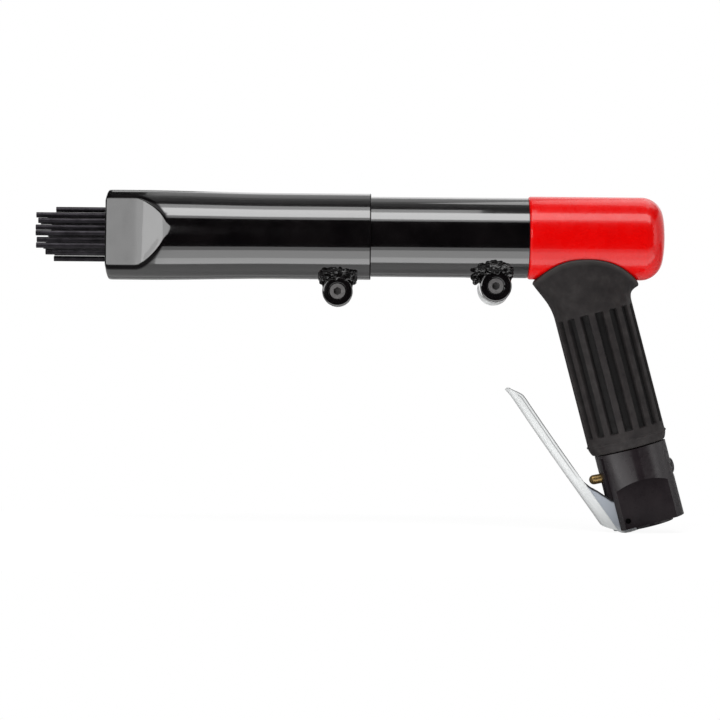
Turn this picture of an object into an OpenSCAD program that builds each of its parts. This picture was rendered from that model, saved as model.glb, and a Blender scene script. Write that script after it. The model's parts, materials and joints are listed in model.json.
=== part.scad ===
// Pistol grip air needle scaler, in millimetres.
// The origin is the mouth of the air inlet, +Z is up and the needles point to -X.

/* [Barrel tubes] */
// Outside diameter of the middle tube
mid_tube_d = 44.5; // [43:0.5:45]
// Wall of the middle tube
mid_tube_wall = 1.5; // [1.2:0.1:1.8]
// Thickness of the lip at the front of the middle tube
lip_t = 3; // [2:0.5:5]
// How far the lip reaches inwards
lip_reach = 4.5; // [3.5:0.5:5]
// Wall of the front tube
front_tube_wall = 1.6; // [1.2:0.1:2.4]
// Length of the front tube
front_tube_l = 146; // [130:1:165]
// Length of middle tube inside the front tube
tube_overlap = 51.3; // [45:0.1:60]
// Growth of the front tube's radius where its sides are pressed in
mouth_swell = 1.1; // [0.5:0.1:1.5]
// Width across the pressed flats of the mouth
mouth_w = 32; // [31:0.5:36]
// Length of the parallel flats
flat_l = 17.4; // [10:0.2:25]
// Length of the ramps behind the flats
ramp_l = 17.5; // [12:0.5:25]

/* [Clamp lugs] */
// Diameter of the bosses
boss_d = 16.8; // [14:0.2:18]
// Length of a lug across the tool
lug_l = 26; // [22:1:30]
// Width of a lug's foot along the tube
foot_w = 22; // [18:1:26]
// Width of the slit that a screw draws shut
slit_w = 3; // [2:0.5:4]
// Length of the slits
slit_l = 34; // [28:1:40]
// Front lug axis below the tube's skin
front_lug_drop = 6.8; // [5:0.1:9]
// Front lug axis from the tube's back end
front_lug_set = 18.2; // [14:0.2:24]
// Rear lug axis below the tube's skin
rear_lug_drop = 4.9; // [4:0.1:8]
// Rear lug axis from the tube's back end
rear_lug_set = 18; // [14:0.5:22]
// Diameter of the clamp screws
screw_d = 5; // [4:0.5:6]
// Diameter of their heads
screw_head_d = 8.5; // [7.5:0.1:10]
// Length of their heads
screw_head_l = 5; // [4:0.5:6]
// Width across the flats of their hexagon sockets
screw_key = 4; // [3:0.5:5]
// Depth of the sockets
screw_key_depth = 3; // [2:0.5:3.5]
// Depth of a head below the face of its lug
screw_recess = 0.6; // [0.2:0.1:1]
// Width across the flats of their nuts
nut_w = 8; // [7:0.5:9]
// Thickness of the nuts
nut_t = 4; // [3:0.5:5]
// Length of a screw beyond its nut
screw_tail = 1; // [0.5:0.5:2]
// Diameter of the washer on the rear lug
washer_d = 18; // [16:0.5:18]
// Thickness of that washer
washer_t = 1.5; // [1:0.1:2]
// How far the loose washer hangs below the screw's axis
washer_hang = 1.2; // [0.8:0.1:1.4]

/* [Needles] */
// Diameter of a needle
needle_d = 3; // [2:0.1:3.2]
// Length of a needle with its head
needle_l = 180; // [175:1:200]
// Distance between neighbouring needles
needle_pitch = 6.8; // [6:0.1:6.8]
// Diameter of a needle's head
needle_head_d = 5; // [4.6:0.1:5.6]
// Length of a needle's head
needle_head_l = 4; // [3:0.5:6]

/* [Holder and spring] */
// Thickness of the drilled disc
holder_disc_t = 12; // [8:1:16]
// Room for the heads to move in, beyond their length
holder_play = 11.3; // [11:0.1:14]
// Wall of the holder's skirt
holder_wall = 3.2; // [2:0.1:3.4]
// Wire of the return spring
spring_wire = 2.6; // [2:0.1:2.8]
// Length of the return spring
spring_l = 26.1; // [22:0.1:32]
// Turns of the return spring
spring_turns = 5; // [4:1:6]

/* [Cylinder and striker] */
// Reach of the cylinder in front of the housing
cylinder_reach = 70.7; // [66:0.1:80]
// Length of the cylinder's spigot in the housing
spigot_in_l = 18.7; // [17:0.1:22]
// Diameter of the spigot
spigot_in_d = 38.8; // [37:0.1:39]
// Wall in front of the piston bore
front_wall = 16; // [12:1:20]
// Diameter of the piston
piston_d = 24; // [20:0.5:26]
// Length of the piston
piston_l = 36; // [28:1:36]
// Thickness of the anvil's disc
anvil_disc_t = 10; // [8:1:14]
// Diameter of the anvil's stem
anvil_stem_d = 16; // [12:0.5:18]
// How far the stem stands into the piston bore
anvil_stem_in = 3.4; // [2:0.2:5]
// Wall of the anvil bush
anvil_bush_wall = 3; // [2:0.5:4]
// Section of the anvil's buffer ring
buffer_section = 3; // [2:0.2:4]
// Diameter of the exhaust ports
exhaust_d = 4; // [3:0.5:5]
// Radius of the cylinder seal's section
cylinder_ring = 0.9; // [0.7:0.05:1]

/* [Valve box] */
// Diameter of the valve box
valve_box_d = 30; // [28:0.5:33]
// Thickness of the valve seat
seat_t = 6; // [4.5:0.5:7]
// Thickness of the valve cap
cap_t = 10; // [6:0.5:11]
// Diameter of the valve disc
disc_d = 21; // [19:0.5:22]
// Thickness of the valve disc
disc_t = 1.5; // [1:0.1:2]
// Lift of the valve disc
disc_lift = 0.8; // [0.5:0.1:1]
// Diameter of the ports through seat and cap
port_d = 4; // [3:0.5:4.5]
// Diameter of the dowel
dowel_d = 2; // [1.5:0.1:2.5]

/* [Housing] */
// Diameter of the housing
housing_d = 46; // [45:0.5:50]
// Housing in front of the handle's axis
housing_front = 26.7; // [25:0.1:32]
// Housing behind the handle's axis
housing_rear = 48.4; // [46:0.1:56]
// Round of the rear edge
rear_round = 11; // [5:0.5:12]
// Round of the front edge
front_round = 1.5; // [0.5:0.1:3]
// Diameter of the air chamber
chamber_d = 28; // [24:0.5:28]
// Wall behind the air chamber
chamber_back = 14; // [11:0.5:18]
// Diameter of the stem under the grip
stem_d = 30; // [27:0.5:32]
// Diameter of the air passage in the stem
passage_d = 10; // [7:0.5:11]

/* [Grip] */
// Inlet mouth to barrel axis, along the handle
handle_l = 164; // [155:1:175]
// Lean of the handle, top towards the needles
handle_tilt = 15; // [10:1:18]
// Diameter of the grip
grip_d = 42.7; // [41:0.1:43.5]
// Diameter of the moulded ridge near the foot
ridge_d = 43.8; // [43:0.1:44.2]
// Diameter of the grip's foot
foot_d = 39.8; // [37:0.1:40.5]
// Height of the tapered foot
foot_h = 4.9; // [4:0.1:7]
// Height of the moulded ridge
ridge_h = 2; // [1.4:0.1:2.6]
// Grooves round the grip
groove_n = 16; // [12:1:18]
// Width of a groove
groove_w = 4.8; // [3.6:0.1:5.2]
// Depth of a groove
groove_depth = 2; // [1.4:0.1:2.2]
// Height of the plain band below the grooves
plain_band = 2.6; // [2:0.2:8]
// Grip's straight part, up to this far below the barrel axis
saddle_start = 41; // [38:0.5:46]
// Saddle in front of the handle's axis, along the barrel
saddle_front = 23.9; // [22:0.1:25]
// Saddle behind the handle's axis, along the barrel
saddle_rear = 35.4; // [32:0.1:40]
// Thickness of the saddle's rim under the housing
saddle_rim = 3.6; // [2.5:0.1:5]
// Width of the saddle
saddle_w = 38.6; // [36:0.2:42]
// How late the saddle's front edge swings forwards
saddle_bow = 1.15; // [1:0.05:1.3]

/* [Throttle block] */
// Diameter of the block
block_d = 40; // [38:0.5:41]
// Height of the block's shoulder above the inlet mouth
block_top = 43.9; // [42:0.1:46]
// Diameter of the land round the inlet
land_d = 27; // [22:0.5:32]
// Height of the land
land_h = 1.5; // [0.5:0.1:3]
// Diameter of the spigot in the handle's stem
block_spigot_d = 22; // [18:0.5:23]
// Length of that spigot
block_spigot_l = 16.3; // [12:0.1:20]
// Width across the spanner flats
flats_w = 27.6; // [26:0.2:30]
// Height of the flats at their middle
flats_top = 26.6; // [20:0.2:28]
// Radius of the cutter that made the flats
flats_cutter_r = 32; // [28:1:40]
// Height of the block left above the ear slots
slot_roof = 1.5; // [1.2:0.1:3]
// Minor diameter of the inlet thread
inlet_d = 11.44; // [10:0.01:11.5]
// Depth of the inlet thread
inlet_l = 14; // [12:0.5:14.5]
// Outside diameter of the inlet bush
inlet_bush_d = 16.6; // [15:0.1:17]
// Thickness of the inlet filter
filter_t = 1; // [0.6:0.1:1.6]
// Radius of the block seal's section
block_ring = 0.8; // [0.6:0.05:0.9]

/* [Throttle valve] */
// Height of the valve's axis at the handle's axis
valve_h = 30.2; // [29.5:0.1:32]
// Tilt of the valve's axis, tip up
valve_tilt = 3.8; // [0:0.1:5]
// Diameter of the throttle stem
throttle_d = 5.3; // [4:0.1:5.6]
// Reach of the stem's tip from the handle's axis
throttle_reach = 26.4; // [25:0.1:26.6]
// Wall of the stem's bush
stem_bush_wall = 1.8; // [1.2:0.1:2.2]
// Length of the stem's bush
stem_bush_l = 9; // [7:0.5:10]
// Diameter of the bore behind the seat
valve_bore_d = 13; // [12:0.2:14]
// Diameter of the stem's head
stem_head_d = 11.2; // [10.4:0.1:11.4]
// Wire of the throttle spring
throttle_wire = 1; // [0.7:0.1:1.1]
// Reach of the plug's cap behind the handle's axis
plug_reach = 21.4; // [20.5:0.1:24]
// Diameter of the plug's cap
plug_cap_d = 9; // [6:0.5:10]
// Back of the plug's body behind the handle's axis
plug_back_set = 19; // [18.6:0.1:19.4]
// Front of the plug's body behind the handle's axis
plug_front_set = 12.7; // [12.4:0.1:13]
// Valve seat behind the handle's axis
throttle_seat_set = 1; // [0.8:0.1:1.2]
// Back of the stem's bush in front of the handle's axis
bush_back = 8; // [7.6:0.1:8.4]
// Length of the stem's head
stem_head_l = 2.7; // [2.4:0.1:3]
// Length of the pilot that carries the spring
pilot_l = 3; // [2:0.1:3.4]
// Radius of the section of the stem's and plug's seals
stem_ring = 0.55; // [0.45:0.05:0.6]
// Turns of the throttle spring
throttle_turns = 4; // [3:1:5]

/* [Lever] */
// Width of the lever
lever_w = 20.6; // [20.4:0.1:22]
// Thickness of the lever's plate
lever_plate = 1.8; // [1.4:0.1:1.9]
// Thickness of the lever's sides and ears
lever_side = 1.3; // [1:0.1:1.4]
// Depth of the lever's sides
lever_depth = 5.4; // [4:0.1:5.5]
// Height of the lever's tip
tip_h = 92.9; // [88:0.1:96]
// Reach of the lever's tip from the handle's axis
tip_v = 58; // [57.8:0.1:62]
// Height of the bend in the lever
bend_h = 60.4; // [54:0.1:66]
// Reach of the bend
bend_v = 46.5; // [46:0.1:48]
// Height of the lever's heel
heel_h = 6.2; // [4:0.1:7]
// Reach of the heel
heel_v = 25.8; // [25.6:0.1:28]
// Height of the pivot
pivot_h = 6; // [5:0.1:7]
// Reach of the pivot
pivot_v = 12.2; // [11.8:0.1:12.4]
// Diameter of the lever pin
pin_d = 3; // [2.5:0.1:4]
// Depth of the pin's ends below the spanner flats
pin_recess = 1.5; // [0.5:0.1:2]
// Radius of the round end of an ear
ear_r = 6.4; // [5:0.1:6.5]
// Height of an ear's upper corner above the pivot
ear_rise = 11.2; // [10:0.1:12]
// Reach of that corner beyond the pivot
ear_lead = 4.3; // [4:0.1:5]
// Height of the heel's corner cut
heel_drop = 3.6; // [3.2:0.1:4]
// Reach of the heel's corner cut
heel_tuck = 5.7; // [5.2:0.1:6]
// Length of the plain run of the sides above the heel
side_run = 21; // [18:0.5:24]
// Taper of the sides at the tip
tip_taper = 6; // [4:0.5:8]
// Depth of the sides at the tip, as a share of their full depth
tip_share = 0.8; // [0.6:0.05:0.9]

/* [Clearances] */
// Radial clearance of round fits
fit = 0.05; // [0.02:0.01:0.08]
// Gap between faces that meet when the tool works
seat_gap = 0.3; // [0.2:0.05:0.5]
// Radial clearance of the anvil and the holder in their tube
slide_gap = 0.35; // [0.25:0.05:0.6]
// Clearance of the ears in their slots
ear_gap = 0.3; // [0.2:0.05:0.35]

/* [Hidden] */
$fn = 64;
// Overshoot of a cut past the face that it opens
cut = 1;

// Barrel stations, measured forwards from the handle's axis
mid_r = mid_tube_d / 2;
bore_r = mid_r - mid_tube_wall;
front_bore_r = mid_r + fit;
front_r = front_bore_r + front_tube_wall;
cylinder_front = housing_front + cylinder_reach;
cylinder_back = housing_front - spigot_in_l;
anvil_back = cylinder_front + seat_gap;
anvil_face = anvil_back + anvil_disc_t;
holder_back = anvil_face + seat_gap;
holder_disc = holder_back + needle_head_l + holder_play;
holder_front = holder_disc + holder_disc_t;
lip_back = holder_front + spring_l + 2 * seat_gap;
mid_end = lip_back + lip_t;
front_back = mid_end - tube_overlap;
mouth = front_back + front_tube_l;
ramp_front = mouth - flat_l;
ramp_back = ramp_front - ramp_l;
swell_start = mid_end;
front_lug_at = front_back + front_lug_set;
rear_lug_at = housing_front + rear_lug_set;
front_lug_axis = front_r + front_lug_drop;
rear_lug_axis = mid_r + rear_lug_drop;

// Striker stations
cylinder_r = bore_r - fit;
piston_front = cylinder_front - front_wall - anvil_stem_in - seat_gap;
seat_front = cylinder_back + cap_t + seat_t;
pocket_depth = disc_t + disc_lift + 2 * fit;
bush_r = anvil_stem_d / 2 + fit + anvil_bush_wall;
buffer_r = cylinder_r - buffer_section * 2;

// Needles stand in five columns, and each sits back from the foremost by its own amount
columns = [-2, -1, 0, 1, 2];
spots = [for (c = columns) for (k = [0:4 - abs(c)])
    [(k - (4 - abs(c)) / 2) * needle_pitch, c * needle_pitch * sin(60)]];
setbacks = [1.1, 0.8, 2.2, 5.5, 0.6, 0, 0.3, 9.4, 3.5, 6, 2, 10.5, 8.9, 4, 7, 5, 3, 5, 6.5];
needle_n = len(spots);

// Handle values
housing_r = housing_d / 2;
grip_r = grip_d / 2;
grip_foot = block_top + 2 * seat_gap;
groove_r = (pow(groove_w, 2) / 4 + pow(groove_depth, 2)) / (2 * groove_depth);
saddle_rings = 12;
saddle_sides = 40;
axis_at = [-handle_l * sin(handle_tilt), 0, handle_l * cos(handle_tilt)];

// Throttle stations along the valve's axis, forwards from the handle's axis
throttle_seat = -throttle_seat_set;
stem_head_front = throttle_seat - seat_gap;
stem_head_back = stem_head_front - stem_head_l;
plug_front = -plug_front_set;
plug_back = -plug_back_set;
stem_bush_r = throttle_d / 2 + fit + stem_bush_wall;
seal_circle = (throttle_d + stem_head_d) / 4 + stem_ring / 2;
slot_out = lever_w / 2 + ear_gap;
slot_in = lever_w / 2 - lever_side - ear_gap;
pin_l = flats_w - 2 * pin_recess;
slot_top = block_top - slot_roof;

// Lever points are [height, reach], and its two runs meet at the bend
tip = [tip_h, tip_v];
bend = [bend_h, bend_v];
heel = [heel_h, heel_v];
pivot = [pivot_h, pivot_v];
upper_run = (bend - tip) / norm(bend - tip);
lower_run = (heel - bend) / norm(heel - bend);
upper_in = [-upper_run[1], upper_run[0]];
lower_in = [-lower_run[1], lower_run[0]];
ear_top = pivot + [ear_rise, ear_lead];
heel_round = heel - [heel_drop, heel_tuck];
channel_over = norm(tip - bend) / 2;

function needle_name(i) = str("needle_", i < 9 ? "0" : "", i + 1);

// Frames: along the barrel with x up, and along the handle with x to the rear

module on_barrel() {
    translate(axis_at) rotate([0, -90, 0]) children();
}

module on_handle() {
    rotate([0, -handle_tilt, 0]) children();
}

// Across the tool at a lug, z towards the near side
module on_lug(drop, at) {
    translate([-drop, 0, at]) rotate([90, 0, 0]) children();
}

// Along the throttle valve, z towards the lever
module on_valve() {
    translate([0, 0, valve_h]) rotate([0, valve_tilt - 90, 0]) children();
}

// Shared shapes

module rod(r, from, to) {
    translate([0, 0, from]) cylinder(r = r, h = to - from);
}

module tube(r_out, r_in, from, to) {
    difference() {
        rod(r_out, from, to);
        rod(r_in, from - cut, to + cut);
    }
}

module ring(major, minor, at) {
    translate([0, 0, at]) rotate_extrude() translate([major, 0]) circle(r = minor);
}

// A ring of holes
module holes(count, circle_r, r, from, to) {
    for (k = [0:count - 1]) rotate(k * 360 / count) translate([circle_r, 0, 0]) rod(r, from, to);
}

// One unbroken wire wound as a helix
module helix(mean_r, wire, from, length, turns) {
    steps = turns * 8;
    sides = 6;
    rise = length - wire;
    points = [for (i = [0:steps]) for (j = [0:sides - 1])
        let (turn = 360 * turns * i / steps, round = 360 * j / sides, r = mean_r + wire / 2 * cos(round))
        [r * cos(turn), r * sin(turn), wire / 2 + rise * i / steps + wire / 2 * sin(round)]];
    skin = [for (i = [0:steps - 1]) for (j = [0:sides - 1])
        let (p = i * sides + j, q = i * sides + (j + 1) % sides)
        each [[p, p + sides, q], [q, p + sides, q + sides]]];
    ends = [for (j = [1:sides - 2])
        each [[0, j, j + 1], [steps * sides, steps * sides + j + 1, steps * sides + j]]];
    translate([0, 0, from]) polyhedron(points, concat(skin, ends));
}

// Split lug under a tube: boss and tapered foot, z towards the near side
module lug(axis_drop, tube_r) {
    reach = axis_drop - sqrt(pow(tube_r, 2) - pow(lug_l / 2, 2)) + cut;
    cylinder(d = boss_d, h = lug_l, center = true);
    linear_extrude(lug_l, center = true)
        polygon([[0, -boss_d / 2], [reach, -foot_w / 2], [reach, foot_w / 2], [0, boss_d / 2]]);
}

// Slit, screw hole and head recess of a lug
module lug_cuts(axis_drop, at, tube_back) {
    translate([-axis_drop - boss_d, -slit_w / 2, tube_back - cut])
        cube([axis_drop + boss_d, slit_w, slit_l + cut]);
    on_lug(axis_drop, at) {
        cylinder(r = screw_d / 2 + fit, h = lug_l + 2 * cut, center = true);
        rod(screw_head_d / 2 + seat_gap, lug_l / 2 - screw_recess - screw_head_l, lug_l / 2 + cut);
    }
}

// Screw with a nut beyond the far face of its lug, and something of this thickness under the nut
module clamp_screw(under) {
    head_top = lug_l / 2 - screw_recess;
    tail = lug_l / 2 + under + nut_t + screw_tail;
    difference() {
        union() {
            rod(screw_head_d / 2, head_top - screw_head_l, head_top);
            rod(screw_d / 2, -tail, head_top - screw_head_l);
        }
        translate([0, 0, head_top - screw_key_depth])
            cylinder(d = screw_key / cos(30), h = screw_key_depth + cut, $fn = 6);
    }
}

module clamp_nut(under) {
    face = -lug_l / 2 - under;
    difference() {
        translate([0, 0, face - nut_t]) cylinder(d = nut_w / cos(30), h = nut_t, $fn = 6);
        rod(screw_d / 2 + fit, face - nut_t - cut, face + cut);
    }
}

// Front tube: straight, then swelling upwards where its two sides are pressed in

module swelling_rod(r) {
    rod(r, front_back, swell_start);
    translate([0, 0, swell_start])
        cylinder(r1 = r, r2 = r + mouth_swell, h = ramp_front - swell_start);
    rod(r + mouth_swell, ramp_front, mouth);
}

// Everything between the two pressed sides
module between_flats(half_w, half_w_back, from, to) {
    tall = 4 * front_r;
    half = [[-from, half_w_back], [-ramp_back, half_w_back], [-ramp_front, half_w], [-to, half_w]];
    other = [for (k = [len(half) - 1:-1:0]) [half[k][0], -half[k][1]]];
    rotate([0, 90, 0]) linear_extrude(tall, center = true) polygon(concat(half, other));
}

module front_tube() {
    back_w = front_r + mouth_swell;
    color("#1b1b1d") on_barrel() difference() {
        union() {
            intersection() {
                swelling_rod(front_r);
                between_flats(mouth_w / 2, back_w, front_back - cut, mouth + cut);
            }
            on_lug(front_lug_axis, front_lug_at) lug(front_lug_axis, front_r);
        }
        intersection() {
            union() {
                swelling_rod(front_bore_r);
                rod(front_bore_r, front_back - cut, front_back + cut);
                rod(front_bore_r + mouth_swell, mouth - cut, mouth + cut);
            }
            between_flats(mouth_w / 2 - front_tube_wall, back_w - front_tube_wall,
                front_back - 2 * cut, mouth + 2 * cut);
        }
        lug_cuts(front_lug_axis, front_lug_at, front_back);
    }
}

module front_clamp_screw() {
    color("#8d9094") on_barrel() on_lug(front_lug_axis, front_lug_at) clamp_screw(0);
}

module front_clamp_nut() {
    color("#8d9094") on_barrel() on_lug(front_lug_axis, front_lug_at) clamp_nut(0);
}

module middle_tube() {
    color("#1b1b1d") on_barrel() difference() {
        union() {
            rod(mid_r, housing_front, mid_end);
            on_lug(rear_lug_axis, rear_lug_at) lug(rear_lug_axis, mid_r);
        }
        rod(bore_r, housing_front - cut, lip_back);
        rod(bore_r - lip_reach, lip_back - cut, mid_end + cut);
        lug_cuts(rear_lug_axis, rear_lug_at, housing_front);
    }
}

module rear_clamp_screw() {
    color("#8d9094") on_barrel() on_lug(rear_lug_axis, rear_lug_at) clamp_screw(washer_t);
}

module rear_clamp_washer() {
    face = -lug_l / 2;
    color("#c9cbce") on_barrel() on_lug(rear_lug_axis, rear_lug_at) translate([-washer_hang, 0, 0])
        tube(washer_d / 2, screw_d / 2 + washer_hang + fit, face - washer_t, face);
}

module rear_clamp_nut() {
    color("#8d9094") on_barrel() on_lug(rear_lug_axis, rear_lug_at) clamp_nut(washer_t);
}

module needle_holder() {
    outer = bore_r - slide_gap;
    color("#6d7074") on_barrel() difference() {
        rod(outer, holder_back, holder_front);
        rod(outer - holder_wall, holder_back - cut, holder_disc);
        for (spot = spots)
            translate(spot) rod(needle_d / 2 + fit, holder_disc - cut, holder_front + cut);
    }
}

module needle_return_spring() {
    color("#55585c") on_barrel()
        helix(bore_r - slide_gap - seat_gap * 5 - spring_wire / 2, spring_wire,
            holder_front + seat_gap, spring_l, spring_turns);
}

module needle(i) {
    head_front = holder_disc - seat_gap - setbacks[i];
    color("#3c3d40") on_barrel() translate(spots[i]) {
        rod(needle_head_d / 2, head_front - needle_head_l, head_front);
        rod(needle_d / 2, head_front, head_front - needle_head_l + needle_l);
    }
}

// Striker: anvil, cylinder and piston

module anvil() {
    color("#7b7e82") on_barrel() {
        rod(bore_r - slide_gap, anvil_back, anvil_face);
        rod(anvil_stem_d / 2, cylinder_front - front_wall - anvil_stem_in, anvil_back);
    }
}

module anvil_bush() {
    color("#a9803f") on_barrel()
        tube(bush_r, anvil_stem_d / 2 + fit, cylinder_front - front_wall, cylinder_front);
}

module anvil_buffer() {
    color("#222222") on_barrel()
        ring(buffer_r, buffer_section / 2, cylinder_front - buffer_section / 2);
}

module cylinder_body() {
    rod(cylinder_r, housing_front, cylinder_front);
    rod(spigot_in_d / 2 - fit, cylinder_back, housing_front);
}

module cylinder_cuts() {
    rod(piston_d / 2 + fit, seat_front - cut, cylinder_front - front_wall);
    rod(valve_box_d / 2 + fit, cylinder_back - cut, seat_front);
    rod(bush_r + fit, cylinder_front - front_wall - cut, cylinder_front + cut);
    ring(buffer_r, buffer_section / 2 + fit, cylinder_front - buffer_section / 2);
    tube(buffer_r + buffer_section / 2 + fit, buffer_r - buffer_section / 2 - fit,
        cylinder_front - buffer_section / 2, cylinder_front + cut);
    tube(spigot_in_d, spigot_in_d / 2 - 2 * cylinder_ring - fit,
        cylinder_back + spigot_in_l / 3 - cylinder_ring - fit,
        cylinder_back + spigot_in_l / 3 + cylinder_ring + fit);
}

// Exhaust ports half way along the piston bore, each with a flute to the front
module exhaust_cuts() {
    port_at = (piston_front + housing_front) / 2;
    for (k = [0:2]) rotate(k * 120) {
        translate([0, 0, port_at]) rotate([0, 90, 0]) cylinder(d = exhaust_d, h = cylinder_r + cut);
        translate([cylinder_r, 0, 0]) rod(exhaust_d / 2, port_at, cylinder_front + cut);
    }
}

module cylinder_node() {
    color("#85888c") on_barrel() difference() {
        cylinder_body();
        cylinder_cuts();
        exhaust_cuts();
    }
}

module cylinder_seal() {
    color("#222222") on_barrel()
        ring(spigot_in_d / 2 - fit - cylinder_ring, cylinder_ring, cylinder_back + spigot_in_l / 3);
}

module piston() {
    color("#94979b") on_barrel() rod(piston_d / 2, piston_front - piston_l, piston_front);
}

// Valve box behind the piston

module valve_seat() {
    seat_back = seat_front - seat_t;
    color("#94979b") on_barrel() difference() {
        rod(valve_box_d / 2, seat_back, seat_front);
        rod(disc_d / 2 + seat_gap, seat_back - cut, seat_back + pocket_depth);
        holes(6, disc_d / 4, port_d / 2, seat_back, seat_front + cut);
        dowel_space(fit);
    }
}

module valve_disc() {
    face = seat_front - seat_t + pocket_depth - fit;
    color("#b9bcbf") on_barrel() rod(disc_d / 2, face - disc_t, face);
}

module valve_cap() {
    color("#94979b") on_barrel() difference() {
        rod(valve_box_d / 2, cylinder_back, cylinder_back + cap_t);
        holes(6, disc_d / 2 - port_d / 2, port_d / 2, cylinder_back - cut, cylinder_back + cap_t + cut);
        dowel_space(fit);
    }
}

module dowel_space(clear) {
    dowel_at = (valve_box_d + disc_d) / 4 + seat_gap / 2;
    middle = cylinder_back + cap_t;
    translate([0, dowel_at, 0])
        rod(dowel_d / 2 + clear, middle - cap_t / 2 - clear, middle + seat_t / 2 + clear);
}

module valve_dowel() {
    color("#55585c") on_barrel() dowel_space(0);
}

// Housing with the handle's stem

module housing_profile() {
    long = housing_front + housing_rear;
    square([housing_r - rear_round, long]);
    translate([0, rear_round]) square([housing_r, long - rear_round - front_round]);
    square_top = long - front_round;
    translate([0, square_top - front_round]) square([housing_r - front_round, 2 * front_round]);
    translate([housing_r - rear_round, rear_round]) circle(r = rear_round);
    translate([housing_r - front_round, square_top]) circle(r = front_round);
}

module main_housing() {
    color("#d0100c") difference() {
        union() {
            on_barrel() translate([0, 0, -housing_rear]) rotate_extrude() housing_profile();
            on_handle() rod(stem_d / 2, block_top, handle_l);
        }
        on_barrel() {
            rod(spigot_in_d / 2, cylinder_back, housing_front + cut);
            rod(chamber_d / 2, chamber_back - housing_rear, cylinder_back + cut);
        }
        on_handle() {
            rod(passage_d / 2, block_top, handle_l - chamber_d / 4);
            rod(block_spigot_d / 2 + fit, block_top - cut, block_top + block_spigot_l + seat_gap);
        }
    }
}

// Rubber grip: a ribbed sleeve that spreads into a saddle under the housing

// A place given along the barrel and above it, in the handle's frame
function saddle_point(along, up) = [
    up * sin(handle_tilt) - along * cos(handle_tilt),
    handle_l + along * sin(handle_tilt) + up * cos(handle_tilt)];

// Front and back ends of one ring of the saddle, and its half width
function saddle_ends(t) = let (
    start_h = handle_l - saddle_start - 2 * seat_gap,
    start_r = grip_r - seat_gap,
    front_rim = saddle_point(saddle_front, -housing_r - saddle_rim),
    rear_rim = saddle_point(-saddle_rear, -housing_r - saddle_rim),
    front_turn = pow(t, saddle_bow),
    rear_turn = 1 - cos(90 * t))
    [[-start_r + (front_rim[0] + start_r) * front_turn, start_h + (front_rim[1] - start_h) * t],
     [start_r + (rear_rim[0] - start_r) * rear_turn, start_h + (rear_rim[1] - start_h) * sin(90 * t)],
     start_r + (saddle_w / 2 - start_r) * t];

// Rings past the rim run up inside the housing, which cuts them off
function saddle_inside(up, inset) =
    [saddle_point(saddle_front - inset, up), saddle_point(inset - saddle_rear, up), saddle_w / 2];

function ring_points(ends) = let (
    middle = (ends[0] + ends[1]) / 2,
    half = (ends[1] - ends[0]) / 2)
    [for (k = [0:saddle_sides - 1]) let (turn = 360 * k / saddle_sides, p = middle + half * cos(turn))
        [p[0], ends[2] * sin(turn), p[1]]];

module saddle() {
    under = -housing_r - saddle_rim / 3;
    root_r = (stem_d + grip_d) / 4;
    root_h = handle_l - saddle_start - groove_w;
    ends = concat(
        [[[-root_r, root_h], [root_r, root_h], root_r]],
        [for (k = [0:saddle_rings]) saddle_ends(k / saddle_rings)],
        [saddle_inside(under, saddle_rim / 2), saddle_inside(-housing_r / 3, saddle_rim)]);
    points = [for (e = ends) each ring_points(e)];
    n = saddle_sides;
    last = len(ends) - 1;
    skin = [for (i = [0:last - 1]) for (k = [0:n - 1])
        let (p = i * n + k, q = i * n + (k + 1) % n)
        each [[p, p + n, q], [q, p + n, q + n]]];
    caps = [for (k = [1:n - 2]) each [[0, k, k + 1], [last * n, last * n + k + 1, last * n + k]]];
    polyhedron(points, concat(skin, caps));
}

module grip_profile() {
    ridge_at = grip_foot + foot_h;
    top = handle_l - saddle_start;
    polygon([[0, grip_foot], [foot_d / 2, grip_foot], [grip_r, ridge_at - ridge_h / 2],
        [ridge_d / 2, ridge_at], [ridge_d / 2, ridge_at + ridge_h / 2], [grip_r, ridge_at + ridge_h],
        [grip_r, top], [0, top]]);
}

module rubber_grip() {
    groove_foot = grip_foot + foot_h + ridge_h + plain_band;
    groove_top = handle_l - saddle_start - groove_r;
    color("#2c2b2c") difference() {
        on_handle() difference() {
            union() {
                rotate_extrude() grip_profile();
                saddle();
            }
            for (k = [0:groove_n - 1])
                rotate(k * 360 / groove_n) translate([grip_r - groove_depth + groove_r, 0, 0])
                    rod(groove_r, groove_foot, groove_top);
            rod(stem_d / 2 + fit, grip_foot - cut, handle_l);
        }
        on_barrel() rod(housing_r + fit, -housing_rear - cut, housing_front + cut);
    }
}

// Throttle block at the foot of the handle

module block_body() {
    rod(block_d / 2, land_h, block_top);
    rod(land_d / 2, 0, land_h + cut);
    rod(block_spigot_d / 2, block_top - cut, block_top + block_spigot_l);
}

module spanner_flats() {
    deep = block_d - flats_w;
    for (side = [-1, 1])
        translate([0, side * (flats_w + deep) / 2, flats_top - flats_cutter_r])
            rotate([90, 0, 0]) cylinder(r = flats_cutter_r, h = deep, center = true);
}

module ear_slots() {
    root = pivot_v - ear_r - ear_gap;
    for (side = [-1, 1])
        translate([-block_d, side * (slot_out + slot_in) / 2 - (slot_out - slot_in) / 2, -cut])
            cube([block_d - root, slot_out - slot_in, slot_top + cut]);
}

module air_ways() {
    bush_end = inlet_l + filter_t + seat_gap;
    filter_top = bush_end + seat_gap;
    way_r = passage_d / 4;
    rod(inlet_bush_d / 2 + fit, -cut, bush_end);
    rod(inlet_d / 2, bush_end - cut, filter_top + way_r);
    translate([valve_bore_d / 2, 0, 0]) rod(way_r, filter_top, valve_h);
    translate([-bush_back / 2, 0, 0]) rod(way_r, valve_h, block_top + way_r);
    rod(passage_d / 2, block_top - way_r, block_top + block_spigot_l + cut);
}

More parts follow.
